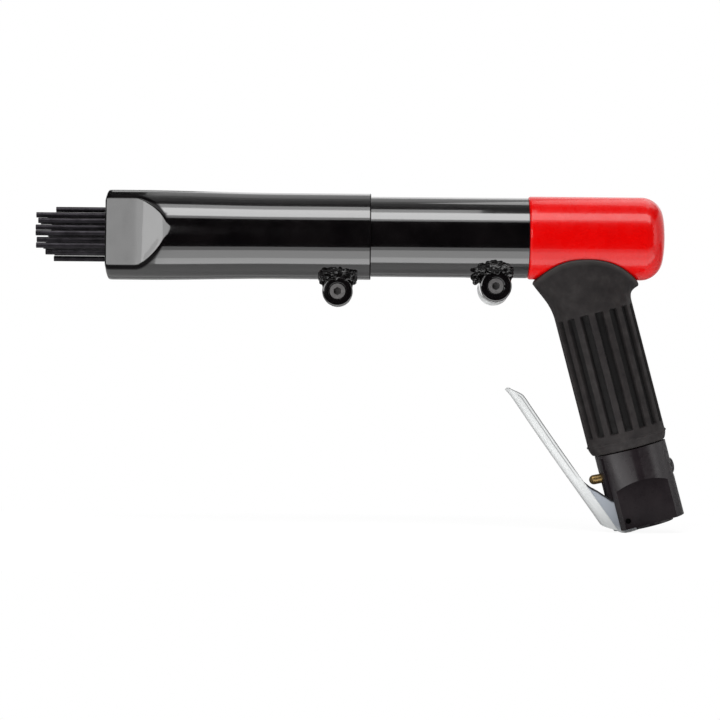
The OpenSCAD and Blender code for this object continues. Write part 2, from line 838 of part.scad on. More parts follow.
module valve_bores() {
    on_valve() {
        rod(stem_bush_r + fit, bush_back, block_d);
        rod(throttle_d / 2 + stem_bush_wall / 2, throttle_seat - cut, bush_back + cut);
        rod(valve_bore_d / 2, -block_d, throttle_seat);
    }
}

// A length across the handle at the lever's pivot
module at_pivot(r, long) {
    translate([-pivot_v, 0, pivot_h]) rotate([90, 0, 0]) cylinder(r = r, h = long, center = true);
}

module throttle_block() {
    groove_at = block_top + block_spigot_l / 2;
    color("#2a2422") on_handle() difference() {
        block_body();
        spanner_flats();
        ear_slots();
        air_ways();
        valve_bores();
        at_pivot(pin_d / 2 + fit, block_d);
        tube(block_spigot_d, block_spigot_d / 2 - 2 * block_ring - fit,
            groove_at - block_ring - fit, groove_at + block_ring + fit);
    }
}

module block_seal() {
    color("#222222") on_handle()
        ring(block_spigot_d / 2 - block_ring, block_ring, block_top + block_spigot_l / 2);
}

module inlet_bush() {
    color("#8d9094") on_handle() tube(inlet_bush_d / 2, inlet_d / 2, 0, inlet_l);
}

module inlet_filter() {
    color("#b08d4a") on_handle() difference() {
        rod(inlet_bush_d / 2, inlet_l, inlet_l + filter_t);
        holes(6, inlet_d / 4, inlet_d / 12, inlet_l - cut, inlet_l + filter_t + cut);
        rod(inlet_d / 12, inlet_l - cut, inlet_l + filter_t + cut);
    }
}

// Throttle valve

module throttle_stem() {
    r = throttle_d / 2;
    color("#b5924c") on_handle() on_valve() difference() {
        union() {
            rod(r, stem_head_front - cut, throttle_reach - r);
            translate([0, 0, throttle_reach - r]) sphere(r);
            rod(stem_head_d / 2, stem_head_back, stem_head_front);
            rod(throttle_d / 3, stem_head_back - pilot_l, stem_head_back);
        }
        ring(seal_circle, stem_ring + fit, stem_head_front - stem_ring);
        tube(seal_circle + stem_ring + fit, seal_circle - stem_ring - fit,
            stem_head_front - stem_ring, stem_head_front + cut);
    }
}

module stem_bush() {
    color("#a9803f") on_handle() on_valve()
        tube(stem_bush_r, throttle_d / 2 + fit, bush_back, bush_back + stem_bush_l);
}

module stem_seal() {
    color("#222222") on_handle() on_valve() ring(seal_circle, stem_ring, stem_head_front - stem_ring);
}

module throttle_spring() {
    long = stem_head_back - plug_front - 2 * seat_gap;
    color("#85888c") on_handle() on_valve()
        helix(throttle_d / 3 + seat_gap + throttle_wire, throttle_wire,
            plug_front + seat_gap, long, throttle_turns);
}

module valve_plug() {
    r = valve_bore_d / 2 - fit;
    color("#3a3634") on_handle() on_valve() difference() {
        union() {
            rod(r, plug_back, plug_front);
            rod(plug_cap_d / 2, -plug_reach, plug_back);
        }
        tube(valve_bore_d, r - 2 * stem_ring - fit,
            (plug_front + plug_back) / 2 - stem_ring - fit,
            (plug_front + plug_back) / 2 + stem_ring + fit);
    }
}

module plug_seal() {
    color("#222222") on_handle() on_valve()
        ring(valve_bore_d / 2 - fit - stem_ring, stem_ring, (plug_front + plug_back) / 2);
}

// Lever: a channel whose sides run on as two ears

// Where a line from a point touches a round
function touch(p, c, r, side) = let (
    off = p - c,
    turn = atan2(off[1], off[0]) + side * acos(r / norm(off)))
    c + r * [cos(turn), sin(turn)];

function flat_point(p) = [-p[1], p[0]];

module lever_outline() {
    free_edge = [
        tip + upper_run * tip_taper + upper_in * lever_depth * tip_share,
        bend + (upper_in + lower_in) / 2 * lever_depth,
        heel - lower_run * side_run + lower_in * lever_depth];
    ear = [ear_top,
        touch(ear_top, pivot, ear_r - fit, -1), pivot,
        touch(heel_round, pivot, ear_r - fit, 1), heel_round];
    outline = concat([heel, bend, tip], free_edge, ear);
    polygon([for (p = outline) flat_point(p)]);
}

// Space inside the channel, open towards the handle
module lever_inside() {
    inside = [
        heel + lower_run * channel_over + lower_in * lever_plate,
        bend + (upper_in + lower_in) / 2 * lever_plate,
        tip - upper_run * channel_over + upper_in * lever_plate,
        tip - upper_run * channel_over + upper_in * block_d,
        heel + lower_run * channel_over + lower_in * block_d];
    polygon([for (p = inside) flat_point(p)]);
}

module throttle_lever() {
    color("#c9cbce") on_handle() difference() {
        union() {
            rotate([90, 0, 0]) linear_extrude(lever_w, center = true) lever_outline();
            at_pivot(ear_r, lever_w);
        }
        rotate([90, 0, 0]) linear_extrude(lever_w - 2 * lever_side, center = true) lever_inside();
        at_pivot(pin_d / 2 + fit, block_d);
    }
}

module lever_pin() {
    color("#2a2422") on_handle() at_pivot(pin_d / 2, pin_l);
}

front_tube();
front_clamp_screw();
front_clamp_nut();
middle_tube();
rear_clamp_screw();
rear_clamp_washer();
rear_clamp_nut();
needle_holder();
needle_return_spring();
for (i = [0:needle_n - 1]) needle(i);
anvil();
anvil_bush();
anvil_buffer();
cylinder_node();  // cylinder
cylinder_seal();
piston();
valve_seat();
valve_disc();
valve_cap();
valve_dowel();
main_housing();
rubber_grip();
throttle_block();
block_seal();
throttle_lever();
lever_pin();
throttle_stem();
stem_bush();
stem_seal();
throttle_spring();
valve_plug();
plug_seal();
inlet_bush();
inlet_filter();
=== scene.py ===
"""Looks of the needle scaler: its finished forms, materials, light and camera, in the model's own frame."""
import json
import math
import random

import bmesh
import bpy
from mathutils import Matrix, Vector, noise


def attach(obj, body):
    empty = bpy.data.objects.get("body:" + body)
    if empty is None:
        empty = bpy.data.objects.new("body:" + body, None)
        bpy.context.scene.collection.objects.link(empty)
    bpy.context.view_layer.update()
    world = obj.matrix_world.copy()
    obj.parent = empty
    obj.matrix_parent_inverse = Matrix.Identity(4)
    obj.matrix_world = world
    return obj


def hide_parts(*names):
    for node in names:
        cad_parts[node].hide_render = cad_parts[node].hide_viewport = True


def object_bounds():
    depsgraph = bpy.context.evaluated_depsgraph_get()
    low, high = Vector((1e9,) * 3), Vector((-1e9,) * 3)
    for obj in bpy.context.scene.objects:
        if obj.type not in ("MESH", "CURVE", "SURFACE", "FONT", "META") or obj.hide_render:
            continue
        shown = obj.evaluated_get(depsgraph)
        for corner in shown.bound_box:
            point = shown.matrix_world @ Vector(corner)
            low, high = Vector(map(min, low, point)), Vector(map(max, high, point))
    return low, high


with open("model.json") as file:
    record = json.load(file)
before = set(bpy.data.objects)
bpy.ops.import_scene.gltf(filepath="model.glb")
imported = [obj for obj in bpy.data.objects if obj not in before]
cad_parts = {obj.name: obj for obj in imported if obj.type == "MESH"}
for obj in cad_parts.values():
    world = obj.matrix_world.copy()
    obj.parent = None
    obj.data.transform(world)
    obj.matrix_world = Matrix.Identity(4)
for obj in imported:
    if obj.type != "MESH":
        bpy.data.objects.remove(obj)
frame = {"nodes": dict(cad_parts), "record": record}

cad_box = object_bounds()
scene = bpy.context.scene
SLOT_OF = {part["node"]: part["material_slot"] for part in frame["record"]["subparts"]}

# Main sizes, in millimetres like every length of the pieces below, until a mesh is made
MM = 0.001
TILT = math.radians(15)
HANDLE_L = 164.0
KNOT_X = -HANDLE_L * math.sin(TILT)
KNOT_Z = HANDLE_L * math.cos(TILT)
MID_R, MID_WALL = 22.25, 1.5
FRONT_R, FRONT_WALL = 23.9, 1.6
FRONT_BACK, FRONT_MOUTH = 113.7, 259.7
MID_BACK, MID_FRONT = 26.7, 165.0
HOUSING_R, HOUSING_REAR, HOUSING_FRONT = 23.0, -48.9, 26.7


def barrel(forward, across, up):
    """A place given along the barrel from the handle's axis, across it and above its axis."""
    return Vector((KNOT_X - forward, across, KNOT_Z + up))


def handle(reach, across, height):
    """A place given from the handle's axis towards the lever, across, and up the handle."""
    return Vector((-reach * math.cos(TILT) - height * math.sin(TILT), across,
                   -reach * math.sin(TILT) + height * math.cos(TILT)))


def ease(t):
    """A soft step from 0 to 1."""
    t = min(max(t, 0.0), 1.0)
    return t * t * (3 - 2 * t)


def wobble(p, size):
    """Smooth noise from -1 to 1 with features of that many millimetres."""
    return noise.noise(Vector(p) / size)


# Mesh helpers; an edge stays sharp where it bends by more than the crease, in degrees

CREASE = 40


def add_mesh(name, points, faces, crease=CREASE):
    """A new object from points in millimetres."""
    mesh = bpy.data.meshes.new(name)
    mesh.from_pydata([Vector(p) * MM for p in points], [], faces)
    obj = bpy.data.objects.new(name, mesh)
    scene.collection.objects.link(obj)
    tidy(obj, crease)
    return obj


def tidy(obj, crease=CREASE):
    """Faces outwards, smooth shading, sharp only at real edges."""
    bm = bmesh.new()
    bm.from_mesh(obj.data)
    bmesh.ops.recalc_face_normals(bm, faces=bm.faces)
    bm.to_mesh(obj.data)
    bm.free()
    obj.data.shade_smooth()
    obj.data.set_sharp_from_angle(angle=math.radians(crease))


def loft_faces(count, n, loop):
    """Four-sided faces between rings of n points."""
    faces = []
    for i in range(count if loop else count - 1):
        j = (i + 1) % count
        for k in range(n):
            m = (k + 1) % n
            faces.append((i * n + k, i * n + m, j * n + m, j * n + k))
    return faces


def loft(name, rings, loop=True, crease=CREASE):
    """A skin over rings of equal length, closed end to end or capped."""
    n = len(rings[0])
    points = [p for ring in rings for p in ring]
    faces = loft_faces(len(rings), n, loop)
    if not loop:
        faces.append(tuple(range(n)))
        faces.append(tuple((len(rings) - 1) * n + k for k in range(n)))
    return add_mesh(name, points, faces, crease)


def lathe(name, path, place, sides, crease=CREASE):
    """A closed path of (along, radius) turned round an axis; a radius of 0 is a pole."""
    points, rows, faces = [], [], []
    for along, radius in path:
        if radius == 0:
            rows.append([len(points)] * sides)
            points.append(place(along, 0, 0))
            continue
        rows.append(list(range(len(points), len(points) + sides)))
        for k in range(sides):
            turn = 2 * math.pi * k / sides
            points.append(place(along, radius * math.sin(turn), radius * math.cos(turn)))
    closed = path[0][1] > 0
    for i in range(len(rows) if closed else len(rows) - 1):
        a, b = rows[i], rows[(i + 1) % len(rows)]
        for k in range(sides):
            m = (k + 1) % sides
            faces.append(tuple(dict.fromkeys((a[k], a[m], b[m], b[k]))))
    return add_mesh(name, points, faces, crease)


def arc(centre, radius, start, end, steps):
    """Points of a round in the plane of a path, angles in degrees."""
    turns = [math.radians(start + (end - start) * k / steps) for k in range(steps + 1)]
    return [(centre[0] + radius * math.cos(t), centre[1] + radius * math.sin(t)) for t in turns]


def block(name, low, high):
    """A box between two corners in the barrel's frame, used only to cut with."""
    ends = (low, high)
    corners = [barrel(x[0], y[1], z[2]) for x in ends for y in ends for z in ends]
    faces = [(0, 1, 3, 2), (4, 6, 7, 5), (0, 4, 5, 1), (2, 3, 7, 6), (0, 2, 6, 4), (1, 5, 7, 3)]
    return add_mesh(name, corners, faces)


def keep_modified(obj):
    """Makes the modified mesh the object's own."""
    mesh = bpy.data.meshes.new_from_object(obj.evaluated_get(bpy.context.evaluated_depsgraph_get()))
    obj.modifiers.clear()
    obj.data = mesh


def cut(obj, cutter):
    """Takes the cutter's space out of the object, and the cutter away."""
    change = obj.modifiers.new("cut", "BOOLEAN")
    change.operation = "DIFFERENCE"
    change.solver = "EXACT"
    change.object = cutter
    keep_modified(obj)
    bpy.data.objects.remove(cutter)
    tidy(obj)


def join(obj, *others):
    """Puts other objects' meshes into this one."""
    bm = bmesh.new()
    bm.from_mesh(obj.data)
    for other in others:
        bm.from_mesh(other.data)
        bpy.data.objects.remove(other)
    bm.to_mesh(obj.data)
    bm.free()
    obj.data.shade_smooth()
    obj.data.set_sharp_from_angle(angle=math.radians(CREASE))


def paint(obj, name, values):
    """Stores one number per point for a material to read."""
    layer = obj.data.attributes.new(name, "FLOAT", "POINT")
    layer.data.foreach_set("value", values)


# Camera at the photograph's angle: level, square to the tool's side, a hair of roll

camera = bpy.data.cameras.new("camera")
camera.sensor_width = 36
camera.lens = 117
camera.clip_end = 100
eye = bpy.data.objects.new("camera", camera)
eye.location = (-0.1616, -1.3, 0.0899)
eye.rotation_euler = (math.radians(90), math.radians(-0.5), 0)
scene.collection.objects.link(eye)
scene.camera = eye

# Front tube: round, swelling a little, its two sides pressed flat towards the mouth

AROUND = 192
SWELL, SWELL_FROM, SWELL_L = 1.15, 165.0, 75.0
TAPER, TAPER_L = 0.9, 2.0
FLAT_TIP, FLAT_SLOPE = 223.4, 0.54
FLAT_START, FLAT_EVEN, FLAT_END = 5.0, 9.5, 6.0
SHOULDER_MIN, SHOULDER_MORE, SHOULDER_END = 0.02, 0.7, 236.0
TWIST_TIP, TWIST_LESS = 6.5, 3.6
PRESSED, LARGE_DENT, SMALL_DENT = 0.12, 0.08, 0.02
WIDEST_CREASE = math.radians(78)
DULL_W, DULL_FADE, DULL_RIM = 4.2, 1.4, 0.5


def front_radius(a):
    """The tube swells a little, and its last stretch tapers to the mouth."""
    swell = SWELL * ease((a - SWELL_FROM) / SWELL_L)
    taper = TAPER * max(0.0, (a - FRONT_MOUTH + TAPER_L) / TAPER_L) ** 2
    return FRONT_R + swell - taper


def flat_reach(a):
    """Half width between the pressed sides: a ramp that starts and ends softly, then parallel flats."""
    start = min(max(a - FLAT_TIP, 0.0), FLAT_START)
    even = min(max(a - FLAT_TIP - FLAT_START, 0.0), FLAT_EVEN)
    end = min(max(a - FLAT_TIP - FLAT_START - FLAT_EVEN, 0.0), FLAT_END)
    run = start ** 2 / (2 * FLAT_START) + even + end - end ** 2 / (2 * FLAT_END)
    return front_radius(FLAT_TIP) - FLAT_SLOPE * run


def flat_soft(a):
    """Round of the shoulders beside the flats: crisp at their point and at the mouth, wider between."""
    wide = ease((a - FLAT_TIP - 1) / 7) * (1 - ease((a - SHOULDER_END) / 7))
    return SHOULDER_MIN + SHOULDER_MORE * wide


def flat_twist(a):
    """How far the pressed sides are turned round the tube, more at their point."""
    return math.radians(TWIST_TIP - TWIST_LESS * ease((a - FLAT_TIP) / 18))


def soft_limit(y, limit, soft):
    """Keeps |y| under a limit, with a shoulder that flattens out slowly."""
    size, start = abs(y), limit - soft
    if size > start:
        left = 1 - min((size - start) / (3 * soft), 1.0)
        size = start + soft * (1 - left ** 3)
    return math.copysign(size, y)


def crease_turn(k, crease):
    """Turn of a ring's point from the top, with points on the creases of all four quarters."""
    quarter = AROUND // 4
    lap, step = divmod(k, quarter)
    back = lap % 2
    share = (quarter - step if back else step) / quarter
    turn = 2 * share * crease if share < 0.5 else crease + (2 * share - 1) * (math.pi / 2 - crease)
    return (lap + back) * math.pi / 2 + (-turn if back else turn)


def front_ring(a, inset):
    """A ring of the tube, and how dull its points are: beside the flats and on the back rim. The dull band
    is painted shade, darkening the creases beside the flats and the seam at the back rim.
    """
    radius, limit = front_radius(a) - inset, flat_reach(a) - inset
    pressed = ease((a - FLAT_TIP) / 10)
    crease = min(math.asin(min(limit / radius, 1.0)), WIDEST_CREASE)
    twist = flat_twist(a)
    rim = 1 - ease((a - FRONT_BACK - DULL_RIM) / 0.4)
    ring, dull = [], []
    for k in range(AROUND):
        turn = crease_turn(k, crease)
        y, up = radius * math.sin(turn), radius * math.cos(turn)
        across = soft_limit(y, limit, flat_soft(a))
        flatness = min(abs(y - across) / 2.5, 1.0) * pressed
        dent = LARGE_DENT * wobble((a, up, math.copysign(40, y)), 9.0)
        dent += SMALL_DENT * wobble((a, up, math.copysign(80, y)), 4.0)
        across -= math.copysign(flatness * (PRESSED + dent), y)
        ring.append(barrel(a, across * math.cos(twist) + up * math.sin(twist),
                           up * math.cos(twist) - across * math.sin(twist)))
        beside = radius * (crease - math.asin(min(abs(y) / radius, 1.0)))
        shade = ease((DULL_W - beside) / DULL_FADE) * ease((a - FLAT_TIP - 1) / 2)
        dull.append(max(rim, shade if beside > -0.01 else 0.0))
    return ring, dull


def front_tube():
    """The tube with its lug; rings stand closest along the ramp of the flats."""
    first = FRONT_BACK + DULL_RIM
    round_part = [first, FRONT_BACK + 0.9] + [first + 5 * k for k in range(1, 21)]
    ramp = [219 + 0.6 * k for k in range(41)]
    flats = [244.2 + 1.1 * k for k in range(12)] + [257.3, 258.3]
    stations = round_part + ramp + flats
    path = [(a, 0.0) for a in stations]
    path += [(FRONT_MOUTH - back, inset) for back, inset in
             ((0.8, 0.0), (0.45, 0.32), (0.1, 0.65), (0.0, 0.9), (0.1, 1.25), (0.5, 1.5))]
    path += [(a, FRONT_WALL) for a in reversed(stations)]
    path += [(FRONT_BACK + 0.15, FRONT_WALL - 0.15), (FRONT_BACK, FRONT_WALL - 0.4), (FRONT_BACK, 0.4),
             (FRONT_BACK + 0.15, 0.1)]
    rings = [front_ring(a, inset) for a, inset in path]
    tube = loft("front_tube_body", [ring for ring, dull in rings])
    # The dull marks are painted shade along the creases and the back seam.
    paint(tube, "dull", [value for ring, dull in rings for value in dull])
    cut(tube, slit(FRONT_BACK))
    join(tube, *lug("front", FRONT_LUG_AT, FRONT_LUG_DROP, FRONT_R, FRONT_BOSS_R))
    return tube


# Split clamp lugs under the tubes, and the lumpy welds that hold them

FRONT_LUG_AT, FRONT_LUG_DROP, FRONT_BOSS_R = 131.9, 30.7, 8.45
REAR_LUG_AT, REAR_LUG_DROP, REAR_BOSS_R = 44.7, 27.15, 8.75
LUG_HALF, SLIT_HALF, SLIT_L = 13.0, 1.5, 34.0
HEAD_SPACE, HEAD_SEAT, HOLE_R = 4.55, 7.4, 2.6
BOSS_ROUND, HOLE_EDGE = 1.1, 0.5
FOOT_LOW, FOOT_WAIST, FOOT_TOP, FOOT_NOTCH = 7.9, 8.4, 9.2, 5.2
WELD_HALF, WELD_ARCH, WELD_VOXEL = 9.7, 10.5, 0.3
BEADS_PER_SIDE, BEADS_PER_EDGE = 130, 30


def slit(back):
    """What a tube loses at its back end, so that the lug can draw it shut."""
    return block("slit", (back - 1, -SLIT_HALF, -60), (back + SLIT_L, SLIT_HALF, -10))


def lug(name, at, drop, tube_r, boss_r):
    """Two bosses beside the slit, each with a foot up to the tube; the near one seats a screw's head."""
    pieces = []
    for side in (-1, 1):
        def place(along, x, z, side=side):
            return barrel(at + x, side * along, z - drop)
        outer = arc((LUG_HALF - BOSS_ROUND, boss_r - BOSS_ROUND), BOSS_ROUND, 90, 0, 6)
        mouth_r = HEAD_SPACE if side < 0 else HOLE_R
        hole = [(LUG_HALF, mouth_r + HOLE_EDGE), (LUG_HALF - HOLE_EDGE, mouth_r)]
        if side < 0:
            hole += [(HEAD_SEAT, HEAD_SPACE), (HEAD_SEAT, HOLE_R)]
        path = [(SLIT_HALF, HOLE_R), (SLIT_HALF, boss_r)] + outer + hole
        pieces.append(lathe(name + "_boss", path, place, 72))
        rings = []
        for k in range(9):
            y = side * (SLIT_HALF + (LUG_HALF - 0.6 - SLIT_HALF) * k / 8)
            top = -math.sqrt((tube_r - 0.8) ** 2 - y * y)
            half = [(FOOT_TOP, top), (FOOT_WAIST, -drop + 3), (FOOT_LOW, -drop)]
            outline = [(-x, z) for x, z in reversed(half)] + half
            outline += arc((0, -drop), FOOT_NOTCH, 0, 180, 10)
            rings.append([barrel(at + x, y, z) for x, z in outline])
        pieces.append(loft(name + "_foot", rings, loop=False))
    return pieces


def weld(name, at, drop, tube_r, boss_r, seed, high=0.0, lumps=()):
    """Beads run round the foot of a lug, melted together."""
    rng = random.Random(seed)
    bm = bmesh.new()

    def bead(x, y, z, size):
        spot = bmesh.ops.create_icosphere(bm, subdivisions=2, radius=size)
        for v in spot["verts"]:
            v.co = v.co + barrel(at + x, y, z)

    def skin(y):
        return -math.sqrt(max(tube_r ** 2 - y * y, 0.0))

    boss_top = boss_r - drop
    for side in (-1, 1):
        for k in range(BEADS_PER_SIDE):
            x = rng.uniform(-WELD_HALF, WELD_HALF)
            arch = math.sqrt(1 - (x / WELD_ARCH) ** 2)
            top = skin(LUG_HALF) + (2.9 + high) * arch - 0.9
            z = rng.uniform(boss_top - 2.6 * (1 - arch) - 1.8, top)
            y = max(LUG_HALF - 0.7, math.sqrt(max(tube_r ** 2 - z * z, 0.0))) + rng.uniform(-0.2, 0.4)
            bead(x, side * y, z, rng.uniform(0.7, 1.4))
        for edge in (-1, 1):
            for k in range(BEADS_PER_EDGE):
                y = side * (3.2 + 9.6 * k / (BEADS_PER_EDGE - 1))
                bead(edge * rng.uniform(8.5, 10.1), y + rng.uniform(-0.3, 0.3),
                     skin(y) - rng.uniform(0.0, 1.0), rng.uniform(0.7, 1.3))
                bead(edge * rng.uniform(8.0, 9.2), y,
                     skin(y) - rng.uniform(1.2, 2.6), rng.uniform(0.7, 1.2))
    for x, y, lift, size in lumps:
        bead(x, y, lift - drop, size)
    mesh = bpy.data.meshes.new(name)
    bm.to_mesh(mesh)
    bm.free()
    mesh.transform(Matrix.Diagonal((MM, MM, MM, 1)))
    obj = bpy.data.objects.new(name, mesh)
    scene.collection.objects.link(obj)
    melt = obj.modifiers.new("melt", "REMESH")
    melt.mode = "VOXEL"
    melt.voxel_size = WELD_VOXEL * MM
    keep_modified(obj)
    tidy(obj, 80)
    return obj


# Middle tube: plain, with a lip inside its front end that the needles' spring leans on

LIP_R, LIP_L = 16.25, 3.0


def middle_tube():
    inner = MID_R - MID_WALL
    path = [(MID_BACK, inner + 0.3), (MID_BACK, MID_R - 0.3), (MID_BACK + 0.3, MID_R)]
    path += [(MID_BACK + 5 + 5 * k, MID_R) for k in range(26)]
    path += arc((MID_FRONT - 0.8, MID_R - 0.8), 0.8, 90, 0, 4)
    path += [(MID_FRONT, LIP_R + 0.3), (MID_FRONT - 0.3, LIP_R)]
    path += [(MID_FRONT - LIP_L, LIP_R), (MID_FRONT - LIP_L, inner)]
    path += [(MID_FRONT - 5 - 5 * k, inner) for k in range(27)]
    tube = lathe("middle_tube_body", path, barrel, AROUND)
    cut(tube, slit(MID_BACK))
    join(tube, *lug("rear", REAR_LUG_AT, REAR_LUG_DROP, MID_R, REAR_BOSS_R))
    return tube


# Housing: one smooth casting with a rounded back

REAR_ROUND, REAR_CROWN, FRONT_ROUND = 9.0, 75.0, 1.5
SOCKET_R, SOCKET_BACK = 19.4, 8.0


def crown(r):
    """Where the slightly domed back lies at that radius."""
    return HOUSING_REAR + r * r / (2 * REAR_CROWN)


def housing():
    path = [(crown(r), r) for r in (0, 3, 6, 9, 11.5)]
    for t in [math.pi / 2 * k / 18 for k in range(19)]:
        r = HOUSING_R - REAR_ROUND + REAR_ROUND * math.sin(t)
        path.append((crown(r) + REAR_ROUND * (1 - math.cos(t)), r))
    start = path[-1][0]
    path += [(start + (HOUSING_FRONT - 2 - start) * k / 12, HOUSING_R) for k in range(1, 12)]
    path += arc((HOUSING_FRONT - FRONT_ROUND, HOUSING_R - FRONT_ROUND), FRONT_ROUND, 90, 0, 6)
    path += [(HOUSING_FRONT, SOCKET_R + 0.5), (HOUSING_FRONT - 0.5, SOCKET_R)]
    path += [(SOCKET_BACK, SOCKET_R), (SOCKET_BACK, 0)]
    return lathe("housing_shell", path, barrel, AROUND, 50)


# Rubber grip: grooved sleeve that spreads into a saddle under the housing

GRIP_R, GRIP_FOOT, SADDLE_LOW = 21.35, 44.5, 122.6
STEM_SPACE, GRIP_FULLER = 15.05, 1.1
GROOVES, GROOVE_W, GROOVE_DEEP = 16, 4.9, 2.1
GROOVE_FOOT, GROOVE_TOP = 54.0, 121.6
GROOVE_END = (-0.25, 0.05, 0.3, 0.6, 1.0)
RIM_MIDDLE, RIM_FRONT, RIM_REAR, RIM_WRAP = -4.9, 28.6, 30.2, math.radians(57.5)
SEAT_GAP = 0.05
GRIP_AROUND = 320


def groove(turn):
    """How deep a groove is at that turn, from 0 on a rib to 1 on the floor."""
    pitch = 2 * math.pi / GROOVES
    off = abs((turn - math.pi / 2 + pitch / 2) % pitch - pitch / 2) * GRIP_R
    t = 1 - off / (GROOVE_W / 2)
    return 0.0 if t <= 0 else min(1.0, 1.25 * math.sin(min(t * 1.9, 1.0) * math.pi / 2))


def sleeve_place(turn, radius, height):
    """A place on the sleeve, which is a little fuller towards the lever."""
    full = radius + GRIP_FULLER * max(math.cos(turn), 0.0) ** 2
    return handle(full * math.cos(turn), -radius * math.sin(turn), height)


def sleeve_ring(height, radius, deep):
    """A ring of the sleeve, and how far each point lies in a groove."""
    ring, marks = [], []
    for k in range(GRIP_AROUND):
        turn = 2 * math.pi * k / GRIP_AROUND
        g = groove(turn) * deep
        r = radius - GROOVE_DEEP * g
        ring.append(sleeve_place(turn, r, height))
        marks.append(g)
    return ring, marks


def rim_place(turn, lift, outset, tuck):
    """The saddle's rim on the housing: an arch up each side, a tongue in front and behind."""
    side = abs(math.sin(turn))
    swing = math.copysign(abs(math.cos(turn)) ** 0.86, math.cos(turn))
    forward = RIM_MIDDLE + swing * ((RIM_FRONT if swing > 0 else RIM_REAR) - tuck)
    wrap = RIM_WRAP * side ** 1.12
    radius = HOUSING_R + outset
    low = -radius * math.cos(wrap) - lift * math.cos(wrap) ** 2
    return barrel(forward, -math.copysign(1, math.sin(turn)) * radius * math.sin(wrap), low)


def saddle_ring(t):
    """A ring of the saddle between the sleeve and the rim."""
    ring = []
    for k in range(GRIP_AROUND):
        turn = 2 * math.pi * k / GRIP_AROUND
        start = sleeve_place(turn, GRIP_R, SADDLE_LOW)
        end = rim_place(turn, 2.2, 1.0, 0.5)
        front = max(math.cos(turn), 0.0)
        rear = max(-math.cos(turn), 0.0)
        span = (end - start).length
        rise = handle(0, 0, 1) - handle(0, 0, 0)
        out = Vector((rear * 0.9 - front * 0.72, 0, 1.0 - 0.45 * rear))
        a = start + rise * span * (0.42 + 0.12 * rear)
        b = end - out.normalized() * span * (0.34 + 0.1 * rear)
        u = 1 - t
        ring.append(start * u ** 3 + a * 3 * u * u * t + b * 3 * u * t * t + end * t ** 3)
    return ring


def bore_top(turn):
    """Where the stem's bore meets the housing."""
    reach, across = STEM_SPACE * math.cos(turn), -STEM_SPACE * math.sin(turn)
    up = KNOT_Z - math.sqrt((HOUSING_R + SEAT_GAP) ** 2 - across ** 2)
    return handle(reach, across, (up + reach * math.sin(TILT)) / math.cos(TILT))


def grip():
    rings, grooves, wear_and_highlight = [], [], []

    def add(ring, marks=None, worn_and_lit=0.0):
        rings.append(ring)
        grooves.extend(marks or [0.0] * GRIP_AROUND)
        wear_and_highlight.extend([worn_and_lit] * GRIP_AROUND)

    ridge = GRIP_FOOT + 4.9
    profile = [(GRIP_FOOT, 19.3), (GRIP_FOOT + 0.15, 19.75), (GRIP_FOOT + 0.6, 20.15),
               (GRIP_FOOT + 1.5, 20.62), (GRIP_FOOT + 2.6, 21.05), (ridge - 1.5, 21.3),
               (ridge - 0.8, 21.4), (ridge - 0.45, 21.8), (ridge, 22.0), (ridge + 0.4, 21.85),
               (ridge + 0.8, 21.4), (ridge + 1.5, GRIP_R), (GROOVE_FOOT - 1.2, GRIP_R)]
    for height, radius in profile:
        add(*sleeve_ring(height, radius, 0.0), 0.12 if abs(height - ridge) < 0.6 else 0.0)
    for step in GROOVE_END:
        add(*sleeve_ring(GROOVE_FOOT + step, GRIP_R, ease((step + 0.1) / 0.95)))
    for k in range(1, 13):
        add(*sleeve_ring(GROOVE_FOOT + 1 + (GROOVE_TOP - GROOVE_FOOT - 2) * k / 13, GRIP_R, 1.0))
    for step in reversed(GROOVE_END):
        add(*sleeve_ring(GROOVE_TOP - step, GRIP_R, ease((step + 0.1) / 0.95)))
    for k in range(25):
        add(saddle_ring(k / 24), None, ease((k - 21) / 3) * 0.4)
    turns = [2 * math.pi * k / GRIP_AROUND for k in range(GRIP_AROUND)]
    # Lighter rim rings: partly wear, partly painted highlight on the rounded rim.
    for lift, outset, tuck, worn_and_lit in ((1.7, 1.12, 0.12, 0.6), (1.2, 1.15, 0.0, 0.7), (0.7, 1.0, 0.1, 0.7),
                                     (0.25, 0.6, 0.5, 0.4), (0.0, SEAT_GAP, 1.2, 0.0)):
        add([rim_place(t, lift, outset, tuck) for t in turns], None, worn_and_lit)
    add([rim_place(t, 0.0, SEAT_GAP, 1.2) * 0.5 + bore_top(t) * 0.5 for t in turns])
    add([bore_top(t) for t in turns])
    add([handle(STEM_SPACE * math.cos(t), -STEM_SPACE * math.sin(t), GRIP_FOOT) for t in turns])
    obj = loft("grip_sleeve", rings, loop=True, crease=60)
    # The groove marks carry the painted shade of the groove floors.
    paint(obj, "groove", grooves)
    paint(obj, "wear_and_highlight", wear_and_highlight)
    return obj


# Throttle lever: a pressed channel that runs on as two ears

LEVER_HALF, LEVER_WALL, LEVER_PLATE, EAR_L = 10.3, 1.3, 1.8, 26.0
LEVER_TIP, LEVER_BEND, LEVER_HEEL = Vector((92.9, 58.0)), Vector((60.4, 46.5)), Vector((6.2, 25.8))
LEVER_TURN_L = 20.0
TIP_DEPTH, MORE_DEPTH, DEPTH_L = 1.95, 3.45, 9.5
TIP_NARROWER, TIP_ROUND, TIP_CURL, TIP_CURL_L = 3.2, 5.0, 0.8, 7.0
OUTER_ROUND, INNER_ROUND = 2.6, 1.6
LINE_STEPS, LINE_END = ((0.75, 0.1), (1.35, 0.0), (1.75, 1.0), (2.15, 0.0)), 2.15
HEEL_L, HEEL_DEPTH, HEEL_SLOPE, DEEP_SLOPE = 9.0, 4.04, 1.336, 0.8
PIVOT = Vector((6.0, 12.2))


